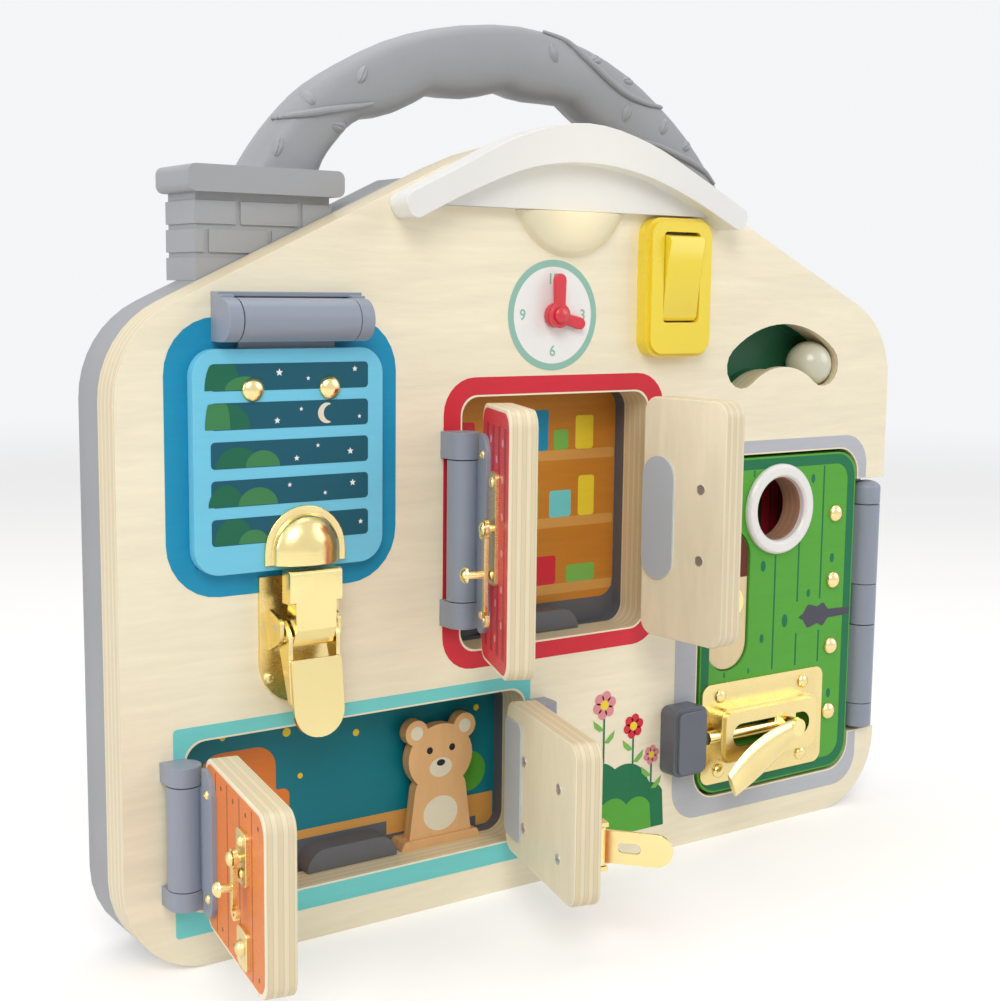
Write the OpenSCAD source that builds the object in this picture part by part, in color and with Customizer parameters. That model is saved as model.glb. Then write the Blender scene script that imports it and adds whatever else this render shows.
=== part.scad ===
// Wooden busy board: a house-shaped plywood front with doors, shutters and latches,
// a moulded rear housing, a carrying handle and a night lamp.
// X runs to the right, the front faces -Y, Z is up. The origin is the centre of the base.

/* [Board] */
// Width of the plywood front
board_w = 400; // [396:1:404]
// Thickness of the plywood front
board_t = 16; // [15:0.5:17]
// Depth of the moulded housing behind the front
housing_d = 28; // [26:1:32]
// Wall thickness of the moulded housing
housing_wall = 2.5; // [2:0.5:3]

/* [Doors and leaves] */
// Thickness of the window leaves
leaf_t = 11; // [9:0.5:11]
// Thickness of the green door
door_t = 12; // [10:0.5:12]
// How far the upper left leaf stands open
upper_left_open = 112; // [60:1:150]
// How far the upper right leaf stands open
upper_right_open = 95; // [60:1:150]
// How far the lower left leaf stands open
lower_left_open = 100; // [60:1:150]
// How far the lower right leaf stands open
lower_right_open = 75; // [60:1:150]

/* [Handle] */
// Depth of the moulded handle, front to back
handle_d = 22; // [20:1:24]
// How far the finger lobes stand below the grip
lobe_h = 3; // [0:0.5:4]

/* [Small parts] */
// Radius of the captive ball
ball_r = 11; // [10:0.5:11]
// Radius of every hinge pin
pin_r = 1.5; // [1.25:0.25:1.5]

/* [Hidden] */
$fn = 48;

// Planes from front to back
front_y = -(board_t + housing_d) / 2;
mid_y = front_y + board_t;
back_y = mid_y + housing_d;
leaf_y = front_y - 0.3;

// House outline
wall_z = 240;
apex_z = 334;
base_r = 35;
shoulder_r = 40;
apex_r = 150;
saddle_z = 300;
outline_z = 159;

// Window, recess and door openings: [left, right, bottom, top]
upper_win = [-53, 45, 108, 213];
lower_win = [-175, -20, 22, 88];
door_gap = [78.5, 181, 20.5, 181.5];
tray_d = 6;
door_tray_d = 16;
tray_wall = 3;

// Screws from the housing into the wood
screw_places = [[-180, 110], [-150, 12], [30, 12], [186, 190], [60, 205], [-100, 262], [62, 100]];

// Battery bay
battery_box = [-30, 30, 46, 92];
bay_box = [-26, 26, 50, 82];
bay_y = back_y - 15;
cell_r = 5.2;
cell_y = bay_y + cell_r + 0.1;
cell_z = [58, 73];
door_screw_z = battery_box[3] - 4;

// Ball slot: centre and radius of the arc, angles of the two ends
slot_c = [128, 191];
slot_r = 41;
slot_a = [50, 130];
lip_w = 20;
lip_t = 4;
channel_w = 2 * ball_r + 1.4;
ball_y = front_y + 10;

// Barrel hinges; a split lists where the knuckles meet, as shares of the barrel's length
barrel_r = 6.5;
barrel_out = 7;
plate_t = 2;
leaf_split = [0, 0.14, 0.86, 1];
bar_split = [0, 0.1, 0.9, 1];
door_split = [0, 0.1, 0.43, 0.6, 0.93, 1];
hinge_y = front_y - barrel_out;
pin_gap = 0.05;
upper_hinge_x = [upper_win[0] - 4, upper_win[1] + 4];
lower_hinge_x = [lower_win[0] - 4, lower_win[1] + 4];
upper_hinge_z = [120, 200];
lower_hinge_z = [28, 83];
door_hinge = [190, front_y + 2];
door_barrel_r = 7;
door_hinge_z = [40, 161.5];

// Clock, switch and lamp
clock_c = [-8, 246];
switch_c = [56, 262.5];
lamp_c = [0, 300];
lamp_r = 30;

// Shutter and its latch
shutter_x = -133;
shutter_box = [shutter_x - 39.5, shutter_x + 39.5, 151, 234];
shutter_t = 5;
shutter_axis = [front_y - 8.5, 244.5];
shutter_barrel_r = 8;
shutter_bar = 30;
latch_x = -128;
latch_p0 = [front_y - 6, 129];
latch_p1 = [front_y - 10, 125];

// ---------------------------------------------------------------- helpers

function unit(v) = v / norm(v);

// Points of one rounded corner at b, between a and c
function corner(a, b, c, r, n = 8) =
  let (u = unit(a - b), v = unit(c - b), half = acos(u * v) / 2, m = unit(u + v))
  let (o = b + m * r / sin(half), s = b + u * r / tan(half), e = b + v * r / tan(half))
  let (a0 = atan2(s[1] - o[1], s[0] - o[0]), a1 = atan2(e[1] - o[1], e[0] - o[0]))
  let (d = a1 - a0, turn = d > 180 ? d - 360 : d < -180 ? d + 360 : d)
  [for (i = [0:n]) o + r * [cos(a0 + turn * i / n), sin(a0 + turn * i / n)]];

// Closed outline with a radius at each of its points
function rounded(pts, radii, n = 8) =
  let (k = len(pts))
  [for (i = [0:k - 1]) each radii[i] > 0
    ? corner(pts[(i + k - 1) % k], pts[i], pts[(i + 1) % k], radii[i], n)
    : [pts[i]]];

function box_pts(b, grow = 0) = [
  [b[0] - grow, b[2] - grow], [b[1] + grow, b[2] - grow],
  [b[1] + grow, b[3] + grow], [b[0] - grow, b[3] + grow]
];

// House outline, moved inwards by inset
function house(inset = 0, n = 8) =
  let (w = board_w / 2 - inset, slope = (apex_z - wall_z) / (board_w / 2))
  let (drop = inset * sqrt(1 + slope * slope), wz = wall_z + slope * inset - drop)
  rounded(
    [[-w, inset], [w, inset], [w, wz], [0, apex_z - drop], [-w, wz]],
    [base_r - inset, base_r - inset, shoulder_r - inset, apex_r - inset, shoulder_r - inset], n);

// Arc-shaped slot with round ends
function arc_slot(c, r, w, a0, a1, n = 14) = concat(
  [for (i = [0:n]) let (a = a0 + (a1 - a0) * i / n) c + (r + w / 2) * [cos(a), sin(a)]],
  [for (i = [1:7]) let (a = a1 + 180 * i / 8) c + r * [cos(a1), sin(a1)] + w / 2 * [cos(a), sin(a)]],
  [for (i = [0:n]) let (a = a1 + (a0 - a1) * i / n) c + (r - w / 2) * [cos(a), sin(a)]],
  [for (i = [1:7]) let (a = a0 + 180 + 180 * i / 8)
    c + r * [cos(a0), sin(a0)] + w / 2 * [cos(a), sin(a)]]
);

// Point on a smooth curve through pts, t running from 0 to len(pts) - 1
function smooth(pts, t) =
  let (k = len(pts), i = min(k - 2, floor(t)), u = t - i)
  let (p1 = pts[i], p2 = pts[i + 1])
  let (p0 = i > 0 ? pts[i - 1] : 2 * p1 - p2, p3 = i < k - 2 ? pts[i + 2] : 2 * p2 - p1)
  0.5 * (2 * p1 + (p2 - p0) * u + (2 * p0 - 5 * p1 + 4 * p2 - p3) * u * u
    + (3 * p1 - p0 - 3 * p2 + p3) * u * u * u);

function signed_pow(v, p) = sign(v) * pow(abs(v), p);

// Extrudes a flat X-Z shape from y0 to y1
module slab(y0, y1) {
  translate([0, y1, 0])
    rotate([90, 0, 0])
      linear_extrude(y1 - y0)
        children();
}

module rbox(b, r, grow = 0) {
  polygon(rounded(box_pts(b, grow), [r, r, r, r]));
}

module rod_x(x0, x1, y, z, r) {
  translate([x0, y, z])
    rotate([0, 90, 0])
      cylinder(h = x1 - x0, r = r);
}

module rod_y(y0, y1, x, z, r) {
  translate([x, y1, z])
    rotate([90, 0, 0])
      cylinder(h = y1 - y0, r = r);
}

module rod_z(z0, z1, x, y, r) {
  translate([x, y, z0])
    cylinder(h = z1 - z0, r = r);
}

// Turns its children about the upright line through [x, y]
module swing(x, y, angle) {
  translate([x, y, 0])
    rotate([0, 0, angle])
      translate([-x, -y, 0])
        children();
}

// A row of rings that closes into one solid; every ring has the same number of points
module skin(rings) {
  n = len(rings[0]);
  k = len(rings);
  polyhedron(
    points = [for (r = rings) each r],
    faces = concat(
      [[for (i = [0:n - 1]) i]],
      [for (j = [0:k - 2], i = [0:n - 1])
        [j * n + i, (j + 1) * n + i, (j + 1) * n + (i + 1) % n, j * n + (i + 1) % n]],
      [[for (i = [n - 1:-1:0]) (k - 1) * n + i]]
    ));
}

// Quarter of an oval, from its rim to its crown
function dome_curve(r, h) = [for (i = [0:5]) [r * cos(18 * i), h * sin(18 * i)]];

// Round-headed fastener standing on a face at y, pointing to the front
module dome_head(x, y, z, r, h) {
  translate([x, y, z])
    rotate([90, 0, 0])
      rotate_extrude()
        polygon(concat([[0, 0]], dome_curve(r, h)));
}

// ---------------------------------------------------------------- barrel hinges

// Ends of knuckle i of a barrel that runs from z[0] to z[1]
function knuckle(z, split, i) = [
  z[0] + (z[1] - z[0]) * split[i] + 0.2, z[0] + (z[1] - z[0]) * split[i + 1] - 0.2
];

// Knuckles of one half of an upright barrel hinge; parity 0 is the fixed half
module knuckles(x, y, z, split, parity, r) {
  for (i = [parity:2:len(split) - 2])
    let (k = knuckle(z, split, i)) rod_z(k[0], k[1], x, y, r);
}

// Fixed half of a leaf hinge: two end knuckles on feet; side points away from the opening
module hinge_feet(x, side, z) {
  difference() {
    union() {
      knuckles(x, hinge_y, z, leaf_split, 0, barrel_r);
      for (i = [0, 2])
        let (k = knuckle(z, leaf_split, i), edge = x - side * (barrel_r - 2.9))
        translate([min(x + side * barrel_r, edge), hinge_y, k[0]])
          cube([2 * barrel_r - 2.9, front_y - hinge_y, k[1] - k[0]]);
    }
    rod_z(z[0] + 2, z[1] - 2, x, hinge_y, pin_r + pin_gap);
  }
}

// Moving half: the long middle knuckle and a plate with a round end, lying on the leaf
module leaf_hinge(x, side, z) {
  clear = barrel_r + 0.7;
  k = knuckle(z, leaf_split, 1);
  near = x - side * clear;
  far = x - side * 21;
  y0 = leaf_y - plate_t;
  difference() {
    union() {
      knuckles(x, hinge_y, z, leaf_split, 1, barrel_r);
      translate([min(x, near - side), y0, k[0]])
        cube([clear + 1, plate_t, k[1] - k[0]]);
      slab(y0, y0 + plate_t)
        polygon(rounded([[near, z[0]], [far, z[0]], [far, z[1]], [near, z[1]]], [1, 9, 9, 1]));
    }
    rod_z(z[0] + 2, z[1] - 2, x, hinge_y, pin_r + pin_gap);
  }
}

module leaf_hinge_pin(x, z) {
  rod_z(z[0] + 2.3, z[1] - 2.3, x, hinge_y, pin_r);
}

// ---------------------------------------------------------------- board and housing

module front_board() {
  color([0.93, 0.82, 0.62])
    difference() {
      slab(front_y, mid_y) polygon(house());
      slab(front_y - 1, mid_y + 1) rbox(upper_win, 8);
      slab(front_y - 1, mid_y + 1) rbox(lower_win, 8);
      slab(front_y - 1, mid_y + 1) rbox(door_gap, 13);
      // corner notch for the door's barrel
      translate([door_gap[1] - 1, front_y - 1, door_hinge_z[0] - 2])
        cube([board_w, board_t + 2, door_hinge_z[1] - door_hinge_z[0] + 6.5]);
      slab(front_y - 1, mid_y + 1) polygon(arc_slot(slot_c, slot_r, lip_w, slot_a[0], slot_a[1]));
      slab(front_y + lip_t, mid_y + 1)
        polygon(arc_slot(slot_c, slot_r, channel_w, slot_a[0], slot_a[1]));
      // lamp, switch and clock
      rod_y(front_y - 1, mid_y + 1, lamp_c[0], 280, 8);
      slab(front_y - 1, mid_y + 1)
        rbox([switch_c[0] - 9, switch_c[0] + 9, switch_c[1] - 16, switch_c[1] + 16], 2);
      rod_y(front_y - 1, mid_y + 1, clock_c[0], clock_c[1], 2);
      for (p = screw_places)
        rod_y(mid_y - 10, mid_y + 1, p[0], p[1], 1.5);
    }
}

// Outline of the housing about the middle of its height
module outline() {
  mirror([0, 1, 0])
    translate([0, -outline_z])
      polygon(house());
}

// Hollow of the housing below the saddle
module hollow(inset) {
  difference() {
    polygon(house(inset));
    translate([-board_w / 2, saddle_z - housing_wall])
      square([board_w, 60]);
  }
}

module rear_housing() {
  color([0.62, 0.63, 0.65])
    difference() {
      union() {
        difference() {
          translate([0, mid_y, outline_z])
            rotate([-90, 0, 0]) {
              linear_extrude(housing_d - 9) outline();
              translate([0, 0, housing_d - 9])
                linear_extrude(5, scale = 0.985) outline();
              translate([0, 0, housing_d - 4])
                linear_extrude(4, scale = 0.965) scale(0.985) outline();
            }
          slab(mid_y - 1, back_y - 10) hollow(housing_wall);
          slab(back_y - 11, back_y - housing_wall) hollow(7);
          // saddle under the grip
          translate([-board_w / 2, mid_y - 1, saddle_z])
            cube([board_w, housing_d + 2, 60]);
        }
        for (p = screw_places)
          rod_y(mid_y, back_y - 1, p[0], p[1], 5);
        // battery bay
        slab(bay_y - 2, back_y - 1) rbox(battery_box, 3, 2.5);
      }
      for (p = screw_places) {
        rod_y(mid_y - 1, back_y + 1, p[0], p[1], 1.8);
        rod_y(mid_y + 10, back_y + 1, p[0], p[1], 3.3);
      }
      // recess for the battery door, the bay behind it and the door's screw hole
      slab(back_y - 2.5, back_y + 1) rbox(battery_box, 3);
      slab(bay_y, back_y + 1) rbox(bay_box, 1);
      rod_y(back_y - 9, back_y, 0, door_screw_z, 1.2);
    }
}

module battery_door() {
  color([0.58, 0.59, 0.61])
    difference() {
      union() {
        slab(back_y - 2.5, back_y - 0.5) rbox(battery_box, 2.6, -0.4);
        for (i = [-3:3])
          translate([i * 6 - 1, back_y - 0.5, 52])
            cube([2, 0.5, 8]);
      }
      rod_y(back_y - 5, back_y + 1, 0, door_screw_z, 1.6);
      rod_y(back_y - 1.7, back_y + 1, 0, door_screw_z, 3.2);
    }
}

module battery_cells() {
  color([0.35, 0.36, 0.4])
    for (s = [0, 1])
      translate([0, cell_y, cell_z[s]])
        rotate([0, s == 0 ? 90 : -90, 0])
          rotate_extrude()
            polygon([[0, -22], [cell_r, -22], [cell_r, 21], [2, 21], [2, 22.5], [0, 22.5]]);
}

// Contact plates on the bay's end walls, with a spring at one end of each cell
module battery_contacts() {
  color([0.8, 0.78, 0.7])
    for (s = [-1, 1]) {
      translate([s > 0 ? bay_box[1] - 0.8 : bay_box[0], bay_y, 51])
        cube([0.8, 12, 30]);
      for (z = cell_z)
        rod_x(s > 0 ? 22.5 : -bay_box[1] + 0.8, s > 0 ? bay_box[1] - 0.8 : -22.5, cell_y, z, 1.8);
    }
}

// Screw with a cross in its head; the head lies at y, the shank points to the front
module screw(x, y, z, length, shank_r, head_r) {
  rod_y(y - length, y, x, z, shank_r);
  difference() {
    rod_y(y, y + 1.2, x, z, head_r);
    for (a = [0, 90])
      translate([x, y + 1.2, z])
        rotate([0, a, 0])
          cube([1.2 * head_r, 1.4, 0.7], center = true);
  }
}

// Screws of the housing and the one of the battery door
module housing_screws() {
  color([0.7, 0.7, 0.72]) {
    for (p = screw_places)
      screw(p[0], mid_y + 10, p[1], 19, 1.4, 3);
    screw(0, back_y - 1.7, door_screw_z, 6, 1.1, 3);
  }
}

// Closed tray behind an opening of the wood; box is the opening, depth its inner depth
module tray(box, r, depth) {
  difference() {
    slab(mid_y, mid_y + depth + 1.5) rbox(box, r + tray_wall, tray_wall);
    slab(mid_y - 1, mid_y + depth) rbox(box, r);
  }
}

// The three trays behind the wood, with the half-round stops of the window leaves
module recess_trays() {
  color([0.45, 0.46, 0.5]) {
    tray(upper_win, 8, tray_d);
    tray(lower_win, 8, tray_d);
    difference() {
      tray([door_gap[0], door_gap[1] - 7, door_gap[2], door_gap[3]], 8, door_tray_d);
      // slot in the side wall for the lock's cam
      translate([door_gap[0] - 5, mid_y - 1, lock_c[1] - 10])
        cube([8, 5.5, 27]);
    }
    for (w = [upper_win, lower_win])
      leaf_stop(w);
  }
}

module ball_track() {
  color([0.15, 0.45, 0.28])
    difference() {
      slab(mid_y, ball_y + ball_r + 2.5)
        polygon(arc_slot(slot_c, slot_r, channel_w + 4, slot_a[0], slot_a[1]));
      slab(mid_y - 1, ball_y + ball_r + 0.7)
        polygon(arc_slot(slot_c, slot_r, channel_w, slot_a[0], slot_a[1]));
    }
}

// Half-round stop that the closed leaves of window w rest against, fixed to the tray's floor
module leaf_stop(w) {
  stop_y = leaf_y + leaf_t + 0.4;
  mid = (w[0] + w[1]) / 2;
  low = w[2] + 0.3;
  slab(stop_y, mid_y + tray_d + 0.5)
    polygon(concat(
      [for (i = [0:8]) let (a = 90 * i / 8) [mid + 12 + 9 * cos(a), low + 9 * sin(a)]],
      [for (i = [0:8]) let (a = 90 + 90 * i / 8) [mid - 12 + 9 * cos(a), low + 9 * sin(a)]]));
}

// ---------------------------------------------------------------- handle and chimney

handle_outer = [
  [-144, 282], [-137, 300], [-121, 322], [-100, 340], [-60, 359], [-8, 367],
  [40, 357], [80, 333], [108, 304], [126, 277], [140, 246]
];
handle_inner = [
  [-106, 282], [-103, 302], [-95, 314], [-84, 323], [-52, 335], [-16, 339],
  [18, 336], [46, 320], [68, 296], [84, 272], [96, 246]
];
handle_y = (mid_y + back_y) / 2 + 2;

// How far a finger lobe pushes the inner edge down at curve position t
function lobe(t) = t > 3 && t < 7 ? lobe_h * sin(180 * (t - floor(t))) : 0;

// Half-round section of the handle at curve position t; side -1 is the front half
function handle_ring(t, side, n = 10) =
  let (o = smooth(handle_outer, t), i0 = smooth(handle_inner, t), d = unit(o - i0))
  let (i1 = i0 - d * lobe(t), c = (o + i1) / 2, a = norm(o - i1) / 2)
  [for (j = [0:n]) let (w = 180 * j / n, p = c + d * a * signed_pow(cos(w), 0.8))
    [p[0], handle_y + side * handle_d / 2 * signed_pow(sin(w), 0.7), p[1]]];

module handle_half(side) {
  steps = 40;
  last = len(handle_outer) - 1;
  rings = [for (i = [0:steps]) handle_ring(last * i / steps, side)];
  difference() {
    skin(side < 0 ? rings : [for (r = rings) [for (j = [len(r) - 1:-1:0]) r[j]]]);
    // the left foot stands on the chimney, the right one on the roof
    translate([-board_w / 2, mid_y - 20, 0])
      cube([board_w / 2, housing_d + 40, chimney_z]);
    slab(mid_y - 20, back_y + 20) polygon(house());
  }
}

module handle_front() {
  color([0.62, 0.63, 0.65]) handle_half(-1);
}

module handle_back() {
  color([0.6, 0.61, 0.63]) handle_half(1);
}

chimney_z = 301;
chimney_box = [-160, -104];
chimney_y = [mid_y + 2, back_y - 1];

// Chimney with a projecting cap and raised bricks on its front, back and sides
module chimney() {
  course = 10.5;
  brick_l = 26;
  lip = 4.5;
  color([0.62, 0.63, 0.65])
    difference() {
      union() {
        translate([chimney_box[0], chimney_y[0], 230])
          cube([chimney_box[1] - chimney_box[0], chimney_y[1] - chimney_y[0], 62]);
        slab(chimney_y[0] - lip, chimney_y[1] + 1)
          rbox([chimney_box[0] - lip, chimney_box[1] + lip, chimney_z - 10, chimney_z], 3);
        for (row = [0:4], i = [0:2]) {
          z = chimney_z - 12 - course * (row + 1) + 1;
          shift = row % 2 == 0 ? -brick_l * 0.35 : -brick_l * 0.85;
          x0 = max(chimney_box[0] - 0.8, chimney_box[0] + shift + i * brick_l + 1);
          x1 = min(chimney_box[1] + 0.8, chimney_box[0] + shift + (i + 1) * brick_l - 1);
          if (x1 > x0 + 3)
            translate([x0, chimney_y[0] - 0.8, z])
              cube([x1 - x0, chimney_y[1] - chimney_y[0] + 1.6, course - 2]);
        }
      }
      slab(mid_y - 20, back_y + 20) polygon(house());
    }
}

// ---------------------------------------------------------------- roof cover and lamp

roof_top = [[-89, 291], [-62, 304], [-32, 318], [0, 324], [32, 318], [62, 305], [91, 291]];
roof_low = [[-84, 282], [-56, 295], [-28, 305], [0, 308], [28, 305], [56, 296], [86, 282.5]];
screen_z = 288.9;

function curve(pts, n) = [for (i = [0:n]) smooth(pts, (len(pts) - 1) * i / n)];
function reversed(v) = [for (i = [len(v) - 1:-1:0]) v[i]];

// White wave over the apex: a raised brim with blunt ends and a thinner screen under it
module roof_cover() {
  ends = [0, 24, 25, 49];
  color([0.96, 0.96, 0.93]) {
    slab(front_y - 13, front_y)
      polygon(rounded(concat(curve(roof_top, 24), reversed(curve(roof_low, 24))),
        [for (i = [0:49]) search(i, ends) == [] ? 0 : 4]));
    difference() {
      slab(front_y - 5, front_y) polygon(curve(roof_low, 24));
      translate([-board_w / 2, front_y - 6, 0])
        cube([board_w, 8, screen_z]);
    }
  }
}

// Round diffuser, the part of it that shows under the cover
module lamp_dome() {
  low = lamp_c[1] - lamp_r - 5;
  color([1, 0.95, 0.7])
    intersection() {
      dome_head(lamp_c[0], front_y, lamp_c[1], lamp_r, 9);
      translate([lamp_c[0] - lamp_r - 1, front_y - 12, low])
        cube([2 * lamp_r + 2, 13, screen_z - 0.2 - low]);
    }
}

// Light board behind the wood: the board itself and two diodes facing forward
module lamp_board() {
  color([0.2, 0.5, 0.3])
    slab(mid_y, mid_y + 1.6) rbox([lamp_c[0] - 16, lamp_c[0] + 16, 270, 290], 2);
  color([1, 1, 0.9])
    for (s = [-1, 1])
      rod_y(mid_y - 2.5, mid_y, lamp_c[0] + 3.8 * s, 280, 2.5);
}

// ---------------------------------------------------------------- switch and clock

switch_h = 8;

module switch_plate() {
  box = [switch_c[0] - 18.5, switch_c[0] + 18.5, 228, 288];
  color([0.96, 0.8, 0.15])
    difference() {
      union() {
        slab(front_y - switch_h + 2, front_y) rbox(box, 8);
        slab(front_y - switch_h, front_y) rbox(box, 6.5, -1.5);
      }
      slab(front_y - switch_h - 1, front_y + 1)
        rbox([switch_c[0] - 10.4, switch_c[0] + 10.4, switch_c[1] - 19.5, switch_c[1] + 19.5], 2);
      rod_x(switch_c[0] - 14, switch_c[0] + 14, front_y - 4, switch_c[1], pin_r + pin_gap);
    }
}

// Rocker, tilted so that its upper half stands out
module rocker() {
  py = front_y - 4;
  color([0.98, 0.85, 0.2])
    translate([0, py, switch_c[1]])
      rotate([8, 0, 0])
        difference() {
          translate([switch_c[0] - 9.8, 0, 0])
            rotate([90, 0, 90])
              linear_extrude(19.6)
                polygon(concat(
                  [[-5.6, -16.5], [-4.4, -18.4], [0.6, -18.4]],
                  [for (i = [0:6]) let (a = -60 + 20 * i) [3.6 * cos(a), 5 * sin(a)]],
                  [[0.6, 18.4], [-4.4, 18.4], [-5.6, 16.5], [-5.2, 0]]));
          rod_x(switch_c[0] - 14, switch_c[0] + 14, 0, 0, pin_r + pin_gap);
        }
}

module switch_body() {
  color([0.15, 0.15, 0.17]) {
    slab(front_y + 3, mid_y + 2)
      rbox([switch_c[0] - 8.6, switch_c[0] + 8.6, switch_c[1] - 15.5, switch_c[1] + 15.5], 1.5);
    for (s = [-1, 1])
      translate([switch_c[0] + 4 * s - 0.4, mid_y + 2, switch_c[1] - 2])
        cube([0.8, 5, 4]);
  }
}

module clock_spindle() {
  color([0.8, 0.12, 0.15]) {
    rod_y(front_y - 6, mid_y + 2, clock_c[0], clock_c[1], 1.9);
    dome_head(clock_c[0], front_y - 6, clock_c[1], 3.6, 1.8);
    rod_y(mid_y + 0.2, mid_y + 2, clock_c[0], clock_c[1], 4);
  }
}

// One hand lying at y0..y1, its tip at angle, with a round hub and a round end
module clock_hand(y0, y1, length, angle, w) {
  translate([clock_c[0], 0, clock_c[1]])
    rotate([0, -angle, 0])
      difference() {
        slab(y0, y1)
          polygon(concat(
            [for (i = [0:16]) let (a = 30 + 300 * i / 16) 5.2 * [cos(a), sin(a)]],
            [[5.2, -w / 2 - 0.3]],
            [for (i = [0:8]) let (a = -90 + 180 * i / 8)
              [length - 3, 0] + [w * 0.65 * cos(a), w * 0.65 * sin(a)]],
            [[5.2, w / 2 + 0.3]]));
        rod_y(y0 - 1, y1 + 1, 0, 0, 1.95);
      }
}

module minute_hand() {
  color([0.85, 0.13, 0.17]) clock_hand(front_y - 5.8, front_y - 3.4, 17.5, 90, 4.4);
}

module hour_hand() {
  color([0.85, 0.13, 0.17]) clock_hand(front_y - 3.1, front_y - 0.7, 16, -15, 4);
}

module ball() {
  color([0.9, 0.88, 0.8])
    translate([slot_c[0] + slot_r * cos(slot_a[0]), ball_y, slot_c[1] + slot_r * sin(slot_a[0])])
      sphere(r = ball_r, $fn = 64);
}

// ---------------------------------------------------------------- figure

// Plywood bear with a foot that stands on the floor of the recess
module figure() {
  c = [-54, lower_win[2]];
  y0 = leaf_y + leaf_t + 2;
  color([0.93, 0.72, 0.45]) {
    slab(y0, y0 + 5)
      union() {
        polygon([for (i = [0:31]) let (a = 11.25 * i) [c[0] + 16 * cos(a), c[1] + 38 + 14.5 * sin(a)]]);
        for (s = [-1, 1])
          translate([c[0] + 12 * s, c[1] + 50]) circle(5.5);
        polygon(rounded([[c[0] - 16, c[1]], [c[0] + 16, c[1]],
          [c[0] + 12, c[1] + 30], [c[0] - 12, c[1] + 30]], [3, 3, 6, 6]));
      }
    slab(y0 - 1, mid_y + tray_d)
      polygon(rounded([[c[0] - 20, c[1]], [c[0] + 20, c[1]],
        [c[0] + 18, c[1] + 4], [c[0] - 18, c[1] + 4]], [0.5, 0.5, 1.5, 1.5]));
  }
}

// ---------------------------------------------------------------- shutter

module shutter() {
  b = shutter_box;
  color([0.45, 0.72, 0.86])
    difference() {
      slab(leaf_y - shutter_t, leaf_y) rbox(b, 10);
      // rebate for the hinge leaf
      slab(leaf_y - plate_t, leaf_y + 1)
        rbox([shutter_x - 27, shutter_x + 27, 208, b[3] + 2], 2);
      for (s = [-1, 1])
        rod_y(leaf_y - shutter_t - 1, leaf_y + 1, shutter_x + 16 * s, 219, 1.6);
    }
}

shutter_ends = [shutter_x - shutter_bar, shutter_x + shutter_bar];

// Hole for the pin of the shutter's level bar
module shutter_bore() {
  rod_x(shutter_ends[0] + 2, shutter_ends[1] - 2, shutter_axis[0], shutter_axis[1],
    pin_r + pin_gap);
}

// Short end knuckles on feet, joined by a ledge over the bar
module shutter_hinge_bracket() {
  y = shutter_axis[0];
  z = shutter_axis[1];
  r = shutter_barrel_r;
  color([0.6, 0.64, 0.68])
    difference() {
      union() {
        for (i = [0, 2])
          let (k = knuckle(shutter_ends, bar_split, i)) {
            rod_x(k[0], k[1], y, z, r);
            translate([k[0], y, z - r])
              cube([k[1] - k[0], front_y - y, 2 * r + 1]);
          }
        translate([shutter_ends[0] + 0.2, front_y - 6, z + r + 0.4])
          cube([2 * shutter_bar - 0.4, 6, 1.8]);
      }
      shutter_bore();
    }
}

// Long middle knuckle, with a neck down to the plate behind the shutter
module shutter_hinge_leaf() {
  k = knuckle(shutter_ends, bar_split, 1);
  color([0.6, 0.64, 0.68])
    difference() {
      union() {
        rod_x(k[0], k[1], shutter_axis[0], shutter_axis[1], shutter_barrel_r);
        translate([shutter_x - 20, leaf_y - plate_t, 230])
          cube([40, plate_t, shutter_axis[1] - 230]);
        slab(leaf_y - plate_t, leaf_y)
          rbox([shutter_x - 26.7, shutter_x + 26.7, 208.3, 233.8], 2);
      }
      shutter_bore();
      for (s = [-1, 1])
        rod_y(leaf_y - 5, leaf_y + 1, shutter_x + 16 * s, 219, 1.6);
    }
}

// ---------------------------------------------------------------- draw latch

latch_w = 17;

// Brass on the shutter: two rivets, and the catch, a half-round plate under a pressed hood
module shutter_fittings() {
  y = leaf_y - shutter_t;
  z = shutter_box[2] + 2;
  top = 158;
  half = dome_curve(14, 8);
  color([0.85, 0.72, 0.38]) {
    slab(y - 1.5, y)
      polygon(concat([[latch_x - latch_w, z], [latch_x + latch_w, z]],
        [for (i = [0:16]) let (a = 180 * i / 16) [latch_x, top] + latch_w * [cos(a), sin(a)]]));
    difference() {
      dome_head(latch_x, y - 1, top, 14, 8);
      translate([latch_x - 20, y - 20, top - 30])
        cube([40, 25, 30]);
    }
    translate([latch_x, y - 1, z])
      linear_extrude(top - z)
        polygon(concat([for (p = half) [p[0], -p[1]]], [for (p = reversed(half)) [-p[0], -p[1]]]));
    for (s = [-1, 1]) {
      rod_y(y, leaf_y, shutter_x + 16 * s, 219, 1.6);
      dome_head(shutter_x + 16 * s, y, 219, 4.6, 3);
    }
  }
}

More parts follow.
